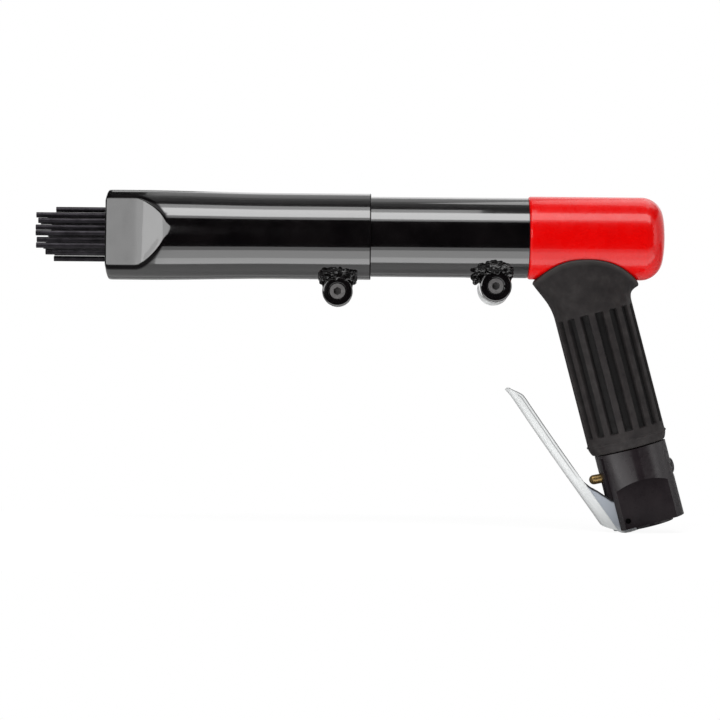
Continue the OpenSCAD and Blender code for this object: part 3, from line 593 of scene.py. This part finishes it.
def lever_path(count):
    """Places along the plate and the way towards the handle, tip first; the bend is a wide curve."""
    upper, lower = (LEVER_BEND - LEVER_TIP).length, (LEVER_HEEL - LEVER_BEND).length
    places = []
    for k in range(count):
        along = (upper + lower) * k / (count - 1)
        if along < upper - LEVER_TURN_L:
            p = LEVER_TIP.lerp(LEVER_BEND, along / upper)
        elif along > upper + LEVER_TURN_L:
            p = LEVER_BEND.lerp(LEVER_HEEL, (along - upper) / lower)
        else:
            t = (along - upper + LEVER_TURN_L) / (2 * LEVER_TURN_L)
            a = LEVER_TIP.lerp(LEVER_BEND, 1 - LEVER_TURN_L / upper)
            b = LEVER_BEND.lerp(LEVER_HEEL, LEVER_TURN_L / lower)
            p = a * (1 - t) ** 2 + LEVER_BEND * 2 * t * (1 - t) + b * t * t
        places.append((along, p))
    out = []
    for k, (along, p) in enumerate(places):
        q = places[min(k + 1, count - 1)][1] - places[max(k - 1, 0)][1]
        q.normalize()
        out.append((along, upper + lower - along, p, Vector((-q[1], q[0]))))
    return out


def channel_section(half, depth, line):
    """Points (across, depth, dark line) round a U, with two dark lines at each free edge; the dark lines
    are painted shade along the edges.
    """
    turn = min(OUTER_ROUND, depth * 0.8)
    outer = [(half - LEVER_WALL * 0.25, depth, line), (half, depth - 0.3, line)]
    for step, mark in LINE_STEPS:
        outer.append((half, max(depth - step, turn + (LINE_END - step) * 0.04), mark * line))
    outer += [(half - turn + turn * math.cos(t), turn - turn * math.sin(t), 0.0)
              for t in [math.pi / 2 * k / 8 for k in range(1, 9)]]
    inner_half = half - LEVER_WALL
    round_in = min(INNER_ROUND, max(depth - LEVER_PLATE, 0.1) * 0.8)
    inner = [(inner_half - round_in * (1 - math.cos(t)), LEVER_PLATE + round_in * (1 - math.sin(t)), 0.0)
             for t in [math.pi / 2 * k / 5 for k in range(5, -1, -1)]]
    inner.append((inner_half, max(depth - 0.35, LEVER_PLATE + 0.12), 0.0))
    other = [(-y, d, mark) for y, d, mark in reversed(outer)]
    other += [(-y, d, mark) for y, d, mark in reversed(inner)]
    return outer + other + inner


def heel_slant(depth):
    """How far the channel's end runs on past the heel at a depth, along the ears' lower edge."""
    return HEEL_SLOPE * min(depth, HEEL_DEPTH) + DEEP_SLOPE * max(depth - HEEL_DEPTH, 0.0)


def lever():
    """The channel and both ears as one mesh, with marks for its grey and its dark places, both painted
    shade.
    """
    rings, lines = [], []
    for along, rest, p, inwards in lever_path(72):
        depth = TIP_DEPTH + MORE_DEPTH * ease((along + 0.5) / DEPTH_L)
        half = LEVER_HALF - TIP_NARROWER * (1 - math.sqrt(1 - (1 - min(along / TIP_ROUND, 1.0)) ** 2))
        # Dark edge lines, painted shade, fade out towards the ears.
        line = 0.75 * ease((rest - EAR_L) / 12)
        curl = TIP_CURL * (1 - min(along / TIP_CURL_L, 1.0)) ** 2
        run = Vector((inwards[1], -inwards[0]))
        slant = max(1 - rest / HEEL_L, 0.0)
        ring = []
        for y, d, mark in channel_section(half, depth, line):
            q = p + inwards * (d - curl) + run * heel_slant(d) * slant
            ring.append(handle(q[1], y, q[0]))
            lines.append(mark)
        rings.append(ring)
    obj = loft("lever_channel", rings, loop=False)
    channel = len(obj.data.vertices)
    ears = [ear(side) for side in (-1, 1)]
    join(obj, *[piece for piece, grey, dark in ears])
    paint(obj, "ear", [0.0] * channel + [value for piece, grey, dark in ears for value in grey])
    paint(obj, "dark", lines + [value for piece, grey, dark in ears for value in dark])
    return obj


def ear(side):
    """A flat ear from the channel's side round the pivot, and how grey and how dark each point is. The
    ear's darker grey and its dark inner face are painted shade; its lower edge keeps the strip's lighter
    colour as painted light.
    """
    run = (LEVER_HEEL - LEVER_BEND).normalized()
    inwards = Vector((-run[1], run[0]))

    def spot(along, depth):
        return LEVER_HEEL + run * along + inwards * depth

    top = PIVOT + Vector((11.2, 4.3))
    upper = [spot(-EAR_L, 4.4), spot(-22.5, 5.4), spot(-20, 6.2), spot(-17.5, 7.6)]
    upper += [top + Vector((0.9, 1.9)), top]
    back = [PIVOT + Vector(p) for p in ((7.5, -1.5), (3.0, -5.2), (-1.5, -7.6), (-4.2, -8.6))]
    lower = [PIVOT + Vector(p) for p in ((-5.4, -8.4), (-6.0, -6.2), (-6.35, -3.0), (-6.5, 0.0),
                                         (-6.3, 2.8), (-5.5, 5.0))]
    outline = [spot(heel_slant(2.9) - 0.4, 2.9), spot(-EAR_L, 2.9)] + upper + back + lower
    outline.append(spot(heel_slant(HEEL_DEPTH), 4.1))
    centre = sum(outline, Vector((0, 0))) / len(outline)
    rings, grey, dark = [], [], []
    for y, inset, rise, shade in ((8.85, 0.3, 1.2, 1.0), (9.1, 0.0, 1.3, 1.0), (9.6, 0.0, 0.5, 1.0),
                                  (9.65, 0.0, 0.0, 0.0), (9.95, 0.3, 0.0, 0.0), (9.95, 3.0, 0.0, 0.0)):
        ring = []
        for p in outline:
            q = p + (centre - p).normalized() * inset
            if p in upper:
                q += Vector((0.9, -0.42)) * rise
            ring.append(handle(q[1], side * y, q[0]))
            # Along the lower edge the ear keeps the strip's lighter colour: painted light.
            grey.append(0.1 if p in lower and inset < 1 else 1.0)
            dark.append(shade)
        rings.append(ring)
    return loft("ear", rings, loop=False), grey, dark


# Valve plug with a domed cap

VALVE_H, VALVE_TILT = 30.2, math.radians(3.8)


def on_valve(along, across, up):
    """A place given along the valve's axis, across it and above it."""
    reach = along * math.cos(VALVE_TILT) - up * math.sin(VALVE_TILT)
    return handle(reach, across, VALVE_H + along * math.sin(VALVE_TILT) + up * math.cos(VALVE_TILT))


def plug():
    cap = [(-21.4, 0), (-21.35, 1.2), (-21.15, 2.4), (-20.8, 3.4), (-20.3, 4.1), (-19.7, 4.42),
           (-19, 4.5)]
    body = [(-19, 6.25), (-18.8, 6.45), (-16.45, 6.45), (-16.45, 5.3), (-15.25, 5.3), (-15.25, 6.45),
            (-12.9, 6.45), (-12.7, 6.25), (-12.7, 0)]
    return lathe("plug_domed", cap + body, on_valve, 64)


# Materials


class Paint:
    """A node material: a Principled shader with noise-driven colour, roughness and bump."""

    def __init__(self, name, metallic=0.0, **constants):
        self.material = bpy.data.materials.new(name)
        self.material.use_nodes = True
        self.tree = self.material.node_tree
        self.shader = self.tree.nodes["Principled BSDF"]
        self.shader.inputs["Metallic"].default_value = metallic
        for key, value in constants.items():
            self.shader.inputs[key.replace("_", " ").title().replace("Ior", "IOR")].default_value = value
        self.place = self.tree.nodes.new("ShaderNodeTexCoord").outputs["Object"]

    def noise(self, size, detail=4.0, stretch=(1, 1, 1)):
        """Noise with features of that many millimetres."""
        where = self.tree.nodes.new("ShaderNodeMapping")
        where.inputs["Scale"].default_value = [1000 / size * s for s in stretch]
        self.tree.links.new(self.place, where.inputs["Vector"])
        node = self.tree.nodes.new("ShaderNodeTexNoise")
        node.inputs["Scale"].default_value = 1.0
        node.inputs["Detail"].default_value = detail
        node.inputs["Roughness"].default_value = 0.55
        self.tree.links.new(where.outputs["Vector"], node.inputs["Vector"])
        return node.outputs["Fac"]

    def attribute(self, name):
        """What the mesh stores for each point under that name."""
        node = self.tree.nodes.new("ShaderNodeAttribute")
        node.attribute_name = name
        return node.outputs["Fac"]

    def spread(self, value, low, high, start=0.3, end=0.7):
        """Turns a value between start and end into one between low and high."""
        node = self.tree.nodes.new("ShaderNodeMapRange")
        for key, number in (("From Min", start), ("From Max", end), ("To Min", low), ("To Max", high)):
            node.inputs[key].default_value = number
        self.tree.links.new(value, node.inputs["Value"])
        return node.outputs["Result"]

    def ramp(self, value, stops):
        """A colour that changes with a value, through stops of (value, colour)."""
        node = self.tree.nodes.new("ShaderNodeValToRGB")
        band = node.color_ramp
        while len(band.elements) < len(stops):
            band.elements.new(0.5)
        for element, (at, colour) in zip(band.elements, stops):
            element.position = at
            element.color = (*colour, 1)
        self.tree.links.new(value, node.inputs["Fac"])
        return node.outputs["Color"]

    def mix(self, share, base, colour):
        """A share of one plain colour over what another node gives."""
        node = self.tree.nodes.new("ShaderNodeMix")
        node.data_type = "RGBA"
        factor, below, above = node.inputs[0], node.inputs[6], node.inputs[7]
        self.tree.links.new(share, factor)
        self.tree.links.new(base, below)
        above.default_value = (*colour, 1)
        return node.outputs[2]

    def drive(self, socket, value):
        self.tree.links.new(value, self.shader.inputs[socket])

    def colour(self, value):
        self.drive("Base Color", value)

    def rough(self, value):
        self.drive("Roughness", value)

    def towards_side(self):
        """1 on faces square to the handle's side, 0 on the others."""
        parts = self.tree.nodes.new("ShaderNodeSeparateXYZ")
        self.tree.links.new(self.place.node.outputs["Normal"], parts.inputs[0])
        size = self.tree.nodes.new("ShaderNodeMath")
        size.operation = "ABSOLUTE"
        self.tree.links.new(parts.outputs["Y"], size.inputs[0])
        return self.spread(size.outputs[0], 0.0, 1.0, 0.992, 0.998)

    def bump(self, value, strength, depth):
        """Unevenness of that many millimetres, on top of what is there already."""
        node = self.tree.nodes.new("ShaderNodeBump")
        node.inputs["Strength"].default_value = strength
        node.inputs["Distance"].default_value = depth * MM
        self.tree.links.new(value, node.inputs["Height"])
        last = self.shader.inputs["Normal"]
        if last.links:
            self.tree.links.new(last.links[0].from_socket, node.inputs["Normal"])
        self.tree.links.new(node.outputs["Normal"], last)


def black_enamel():
    """Gloss black, dull where the mesh is marked so; a linked socket's constant is for the export."""
    p = Paint("black_enamel_coat", coat_weight=1.0, coat_roughness=0.035, coat_ior=1.62,
              specular_ior_level=0.42)
    # Less coat and specular where marked dull: painted shade on the creases and the back seam.
    p.drive("Coat Weight", p.spread(p.attribute("dull"), 1.0, 0.06, 0.0, 1.0))
    p.drive("Specular IOR Level", p.spread(p.attribute("dull"), 0.42, 0.03, 0.0, 1.0))
    p.colour(p.ramp(p.noise(14), [(0.3, (0.0018, 0.0015, 0.0018)), (0.7, (0.005, 0.0042, 0.0045))]))
    p.rough(p.spread(p.noise(5), 0.09, 0.16))
    p.bump(p.noise(2.2, 2), 0.05, 0.06)
    return p.material


def weld_enamel():
    """The same enamel over the rough welds, dull with glossy runs."""
    p = Paint("black_enamel_weld", coat_weight=0.4, coat_roughness=0.04, coat_ior=1.6,
              specular_ior_level=0.06)
    p.drive("Coat Weight", p.spread(p.noise(2.6, 1), 0.05, 1.0, 0.5, 0.62))
    p.colour(p.ramp(p.noise(5), [(0.3, (0.0015, 0.0012, 0.0013)), (0.7, (0.004, 0.0034, 0.0036))]))
    p.rough(p.spread(p.noise(2), 0.16, 0.3))
    p.bump(p.noise(0.9, 3), 0.12, 0.08)
    return p.material


def red_enamel():
    p = Paint("red_enamel_coat", coat_weight=0.36, coat_roughness=0.05, coat_ior=1.5,
              specular_ior_level=0.16)
    p.colour(p.ramp(p.noise(20), [(0.3, (0.66, 0.0005, 0.0005)), (0.7, (0.75, 0.001, 0.0008))]))
    p.rough(p.spread(p.noise(6), 0.22, 0.34))
    p.bump(p.noise(2.6, 2), 0.05, 0.06)
    return p.material


def grip_rubber():
    p = Paint("moulded_rubber", specular_ior_level=0.19)
    skin = p.ramp(p.noise(7, 6), [(0.28, (0.0095, 0.0078, 0.0082)), (0.55, (0.0175, 0.015, 0.015)),
                                  (0.8, (0.031, 0.028, 0.027))])
    # Groove floors go near-black: painted shade in the grooves.
    skin = p.mix(p.spread(p.attribute("groove"), 0.0, 0.92, 0.05, 0.9), skin, (0.0012, 0.001, 0.001))
    # Rim and foot ridge go lighter: partly wear, partly painted highlight on the rounded edges.
    worn_and_lit = p.mix(p.spread(p.attribute("wear_and_highlight"), 0.0, 0.75, 0.1, 1.0), skin, (0.08, 0.076, 0.072))
    p.colour(worn_and_lit)
    p.rough(p.spread(p.noise(4, 5), 0.55, 0.78))
    p.bump(p.noise(0.8, 3), 0.16, 0.1)
    p.bump(p.noise(6, 4), 0.1, 0.3)
    return p.material


def blackened_steel():
    p = Paint("blackened_block", specular_ior_level=0.36)
    p.colour(p.ramp(p.noise(9, 5), [(0.3, (0.0075, 0.0052, 0.0066)), (0.7, (0.0135, 0.0103, 0.0117))]))
    p.rough(p.spread(p.noise(3, 5), 0.25, 0.36))
    # Less specular on faces square to the handle's side: painted shade on the block's flats.
    p.drive("Specular IOR Level", p.spread(p.towards_side(), 0.36, 0.08, 0.0, 1.0))
    p.bump(p.noise(0.7, 3), 0.08, 0.06)
    return p.material


def bright_steel():
    p = Paint("pressed_bright_steel", metallic=0.03, specular_ior_level=0.12)
    steel = p.ramp(p.noise(10, 4), [(0.3, (0.54, 0.553, 0.553)), (0.7, (0.585, 0.597, 0.597))])
    # The ears are painted a darker blue-grey: painted shade.
    steel = p.mix(p.attribute("ear"), steel, (0.28, 0.302, 0.335))
    # Marked lines and inner ear faces go near-black: painted shade.
    p.colour(p.mix(p.attribute("dark"), steel, (0.02, 0.02, 0.022)))
    p.rough(p.spread(p.noise(6, 2), 0.36, 0.42))
    p.bump(p.noise(6, 1), 0.02, 0.05)
    return p.material


def needle_steel():
    p = Paint("dark_needle_steel", metallic=0.8)
    p.colour(p.ramp(p.noise(5, 4), [(0.3, (0.010, 0.0085, 0.011)), (0.7, (0.03, 0.027, 0.032))]))
    p.rough(p.spread(p.noise(1.5, 4, stretch=(0.1, 1, 1)), 0.28, 0.45))
    p.bump(p.noise(0.6, 3, stretch=(0.08, 1, 1)), 0.1, 0.05)
    return p.material


def turned_metal(name, dark, light, rough, metallic=1.0):
    """Metal with faint turning marks."""
    p = Paint(name, metallic=metallic)
    p.colour(p.ramp(p.noise(6, 4), [(0.3, dark), (0.7, light)]))
    p.rough(p.spread(p.noise(1.2, 4, stretch=(1, 0.2, 0.2)), rough, rough + 0.15))
    p.bump(p.noise(0.5, 2, stretch=(1, 0.1, 0.1)), 0.03, 0.03)
    return p.material


def seal_rubber():
    p = Paint("seal_rubber_black")
    p.colour(p.ramp(p.noise(3, 4), [(0.3, (0.012, 0.012, 0.012)), (0.7, (0.026, 0.025, 0.025))]))
    p.rough(p.spread(p.noise(2, 4), 0.5, 0.7))
    p.bump(p.noise(0.6, 3), 0.08, 0.05)
    return p.material


# Near-black pin end: painted shade for the recess it sits in.
def pin_recess_shade():
    p = Paint("pin_black_painted_shade", specular_ior_level=0.05)
    p.colour(p.ramp(p.noise(2, 3), [(0.3, (0.0006, 0.0005, 0.0006)), (0.7, (0.0016, 0.0013, 0.0014))]))
    p.rough(p.spread(p.noise(2), 0.5, 0.7))
    return p.material


FINISH = {
    "black_enamel": black_enamel(),
    "red_enamel": red_enamel(),
    "grip_rubber": grip_rubber(),
    "blackened_steel": blackened_steel(),
    "bright_steel": bright_steel(),
    "needle_steel": needle_steel(),
    "machined_steel": turned_metal("machined_steel_grey", (0.42, 0.42, 0.43), (0.58, 0.58, 0.59), 0.28),
    "screw_steel": turned_metal("screw_steel_grey", (0.08, 0.076, 0.076), (0.15, 0.145, 0.145),
                                0.5, 0.3),
    "spring_steel": turned_metal("spring_steel_dark", (0.16, 0.16, 0.17), (0.26, 0.26, 0.27), 0.3),
    "bronze": turned_metal("brass_worn", (0.2, 0.132, 0.048), (0.24, 0.16, 0.062), 0.3, 0.75),
    "seal_rubber": seal_rubber(),
}
OWN_FINISH = {
    "lever_pin": pin_recess_shade(),
    "rear_clamp_washer": turned_metal("plated_washer", (0.74, 0.75, 0.75), (0.82, 0.83, 0.83),
                                      0.45, 0.05),
}
WELD = weld_enamel()

# Pieces that stand for their solids, and the two welds, which have no solid


def place_piece(obj, body, slot, *nodes, finish=None):
    """Gives a piece its material, from its slot's finish unless another is given, puts it on its body, and
    hides the solids that it stands for.
    """
    obj.data.materials.clear()
    obj.data.materials.append(finish or FINISH[slot])
    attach(obj, body)
    if nodes:
        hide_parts(*nodes)


REAR_WELD_AT = REAR_LUG_AT + 1.2
REAR_LUMPS = ((9.4, -11.4, 3.4, 2.3), (10.8, -11.2, 4.8, 2.2), (10.2, -11.6, 1.9, 1.6))
place_piece(front_tube(), "front_tube", "black_enamel", "front_tube")
place_piece(weld("front_lug_weld", FRONT_LUG_AT, FRONT_LUG_DROP, FRONT_R, FRONT_BOSS_R, 3),
            "front_tube", "black_enamel", finish=WELD)
place_piece(middle_tube(), "body", "black_enamel", "middle_tube")
place_piece(weld("rear_lug_weld", REAR_WELD_AT, REAR_LUG_DROP, MID_R, REAR_BOSS_R, 8, 1.9, REAR_LUMPS),
            "body", "black_enamel", finish=WELD)
place_piece(housing(), "body", "red_enamel", "main_housing")
place_piece(grip(), "body", "grip_rubber", "rubber_grip")
place_piece(lever(), "throttle_lever", "bright_steel", "throttle_lever")
place_piece(plug(), "body", SLOT_OF["valve_plug"], "valve_plug")

# Solids that are shown as they are, with broken edges

EDGE = {"throttle_block": 0.45, "lever_pin": 0.2, "inlet_bush": 0.3}
NEEDLE_EDGE = 0.3
for name, obj in frame["nodes"].items():
    obj.data.materials.clear()
    obj.data.materials.append(OWN_FINISH.get(name, FINISH[SLOT_OF[name]]))
    loose_needle = name.startswith("needle_") and name[-1].isdigit()
    size = EDGE.get(name, NEEDLE_EDGE if loose_needle else 0.0)
    if size and not obj.hide_render:
        edge = obj.modifiers.new("edge", "BEVEL")
        edge.width = size * MM
        edge.segments = 3
        edge.limit_method = "ANGLE"
        edge.angle_limit = math.radians(50)
        even = obj.modifiers.new("even", "WEIGHTED_NORMAL")
        even.keep_sharp = True

# Stage, in metres: a white table under a white sky, cards that keep parts of it out of the mirrors, lamps

FLOOR = cad_box[0][2] - 0.0004
LEFT, RIGHT, NEAR, FAR = -1.6, 1.3, -0.27, 0.13
BEHIND, ON_TABLE, OVERHEAD = 0.16, FLOOR + 0.0002, 1.45


def white_to_eyes_and_mirrors(tree, plain, glow, strength, share):
    """Mixes a white glow over a plain shader for camera, mirror and glass rays."""
    nodes, links = tree.nodes, tree.links
    rays = nodes.new("ShaderNodeLightPath")
    seen = rays.outputs["Is Camera Ray"]
    for name in ("Is Glossy Ray", "Is Transmission Ray"):
        either = nodes.new("ShaderNodeMath")
        either.operation = "MAXIMUM"
        links.new(seen, either.inputs[0])
        links.new(rays.outputs[name], either.inputs[1])
        seen = either.outputs[0]
    part = nodes.new("ShaderNodeMath")
    part.operation = "MULTIPLY"
    part.inputs[1].default_value = share
    links.new(seen, part.inputs[0])
    glow.inputs["Color"].default_value = (1, 1, 1, 1)
    glow.inputs["Strength"].default_value = strength
    mix = nodes.new("ShaderNodeMixShader")
    links.new(part.outputs[0], mix.inputs[0])
    links.new(plain.outputs[0], mix.inputs[1])
    links.new(glow.outputs[0], mix.inputs[2])
    return mix.outputs[0]


def sheet(name, grey, low, high):
    """A flat sheet between two opposite corners, which share one of their coordinates."""
    u, v = [axis for axis in range(3) if low[axis] != high[axis]]
    corners = [list(low) for k in range(4)]
    corners[1][u] = corners[2][u] = high[u]
    corners[2][v] = corners[3][v] = high[v]
    mesh = bpy.data.meshes.new(name)
    mesh.from_pydata(corners, [], [(0, 1, 2, 3)])
    obj = bpy.data.objects.new(name, mesh)
    scene.collection.objects.link(obj)
    material = bpy.data.materials.new(name)
    material.use_nodes = True
    material.node_tree.nodes.clear()
    mesh.materials.append(material)
    plain = material.node_tree.nodes.new("ShaderNodeBsdfDiffuse")
    plain.inputs["Color"].default_value = (grey, grey, grey, 1)
    out = material.node_tree.nodes.new("ShaderNodeOutputMaterial")
    material.node_tree.links.new(plain.outputs[0], out.inputs["Surface"])
    return obj, material.node_tree, plain, out.inputs["Surface"]


def table():
    obj, tree, plain, out = sheet("white_table", 0.86, (LEFT, NEAR, FLOOR), (RIGHT, FAR, FLOOR))
    glow = tree.nodes.new("ShaderNodeEmission")
    tree.links.new(white_to_eyes_and_mirrors(tree, plain, glow, 1.06, 0.88), out)
    obj.data.materials[0].cycles.emission_sampling = "NONE"


def card(name, grey, low, high):
    """A sheet that only mirrors see."""
    obj = sheet(name, grey, low, high)[0]
    obj.visible_camera = False
    obj.visible_diffuse = False
    obj.visible_shadow = False


table()
card("front_card", 0.012, (-2.5, -1.7, -1.3), (2.3, -1.7, 2.0))
card("top_card", 0.5, (-0.4, -0.4, OVERHEAD), (1.8, 1.9, OVERHEAD))
card("far_top_card", 0.1, (-2.0, -0.4, OVERHEAD), (-0.4, 2.8, OVERHEAD))
card("back_card", 0.35, (LEFT, BEHIND, -0.3), (RIGHT, BEHIND, 0.115))
card("left_card", 0.02, (-1.75, -0.65, -1.0), (-1.75, 0.6, 1.4))
# The under card shows mirrors a greyer table under and behind the tool: painted shade of the tool's shadow.
card("under_card", 0.7, (LEFT, -0.042, ON_TABLE), (RIGHT, BEHIND, ON_TABLE))


def lamp(name, power, size, at, towards):
    """A soft box that the camera doesn't see."""
    data = bpy.data.lights.new(name, "AREA")
    data.shape = "RECTANGLE"
    data.size, data.size_y = size
    data.energy = power
    obj = bpy.data.objects.new(name, data)
    obj.location = at
    obj.rotation_euler = (Vector(towards) - Vector(at)).to_track_quat("-Z", "Y").to_euler()
    obj.visible_camera = False
    scene.collection.objects.link(obj)


def facet(start, end, away):
    """Middle, in radians, and width of one lamp in a fan, from its angles in degrees."""
    return math.radians((start + end) / 2), 2 * away * math.tan(math.radians((end - start) / 2))


TUBES = (-0.16, 0, 0.15)
MOUTH = (-0.29, 0, 0.16)
HOUSING = (0.03, 0, 0.15)
LIMB_AWAY, LIMB_L = 0.9, 0.86
LEFT_AWAY, LEFT_Z, LEFT_H = 1.15, 0.36, 0.4
lamp("soft_top", 8.0, (1.5, 0.34), (-0.16, -0.46, 0.93), TUBES)
lamp("soft_top_above", 1.15, (0.86, 0.19), (-0.48, -0.219, 1.029), (-0.48, 0, 0.15))
for start, end, glow in ((94, 106, 0.1), (106, 117, 0.24), (136, 148, 0.75)):
    turn, width = facet(start, end, LIMB_AWAY)
    at = (HOUSING[0], -LIMB_AWAY * math.cos(turn), HOUSING[2] + LIMB_AWAY * math.sin(turn))
    lamp("soft_limb_%d" % end, glow * math.pi * width * LIMB_L, (LIMB_L, width), at, HOUSING)
lamp("soft_top_below", 0.75, (1.5, 0.1), (-0.16, -0.629, 0.802), TUBES)
lamp("soft_over_housing", 0.97, (0.45, 0.53), (0.2, 0.343, 0.805), (-0.03, 0, 0.16))
lamp("soft_rear", 0.7, (1.0, 0.45), (0.1, 0.8, 1.25), (0.1, 0, 0.15))
lamp("soft_low", 0.2, (0.51, 0.1), (-0.03, -0.14, FLOOR + 0.004), (-0.03, -0.14, 1))
lamp("soft_low_near", 0.19, (0.51, 0.054), (-0.03, -0.063, FLOOR + 0.004), (-0.03, -0.063, 1))
for start, end, glow in ((3.2, 9, 2.75), (9, 14, 2.9), (14, 22, 3.05), (22, 76, 3.25)):
    turn, width = facet(start, end, LEFT_AWAY)
    at = (MOUTH[0] - LEFT_AWAY * math.sin(turn), -LEFT_AWAY * math.cos(turn), LEFT_Z)
    lamp("soft_left_%d" % end, glow * math.pi * width * LEFT_H, (width, LEFT_H), at, MOUTH)
lamp("soft_right", 1.2, (0.4, 0.9), (1.0, -0.5, 0.3), (-0.05, 0, 0.12))

world = bpy.data.worlds.new("world")
scene.world = world
world.use_nodes = True
world.node_tree.nodes.clear()
dim = world.node_tree.nodes.new("ShaderNodeBackground")
dim.inputs["Color"].default_value = (1, 1, 1, 1)
dim.inputs["Strength"].default_value = 0.06
out = world.node_tree.nodes.new("ShaderNodeOutputWorld")
sky = world.node_tree.nodes.new("ShaderNodeBackground")
shown = white_to_eyes_and_mirrors(world.node_tree, dim, sky, 1.0, 1.0)
world.node_tree.links.new(shown, out.inputs["Surface"])

scene.view_settings.view_transform = "Standard"
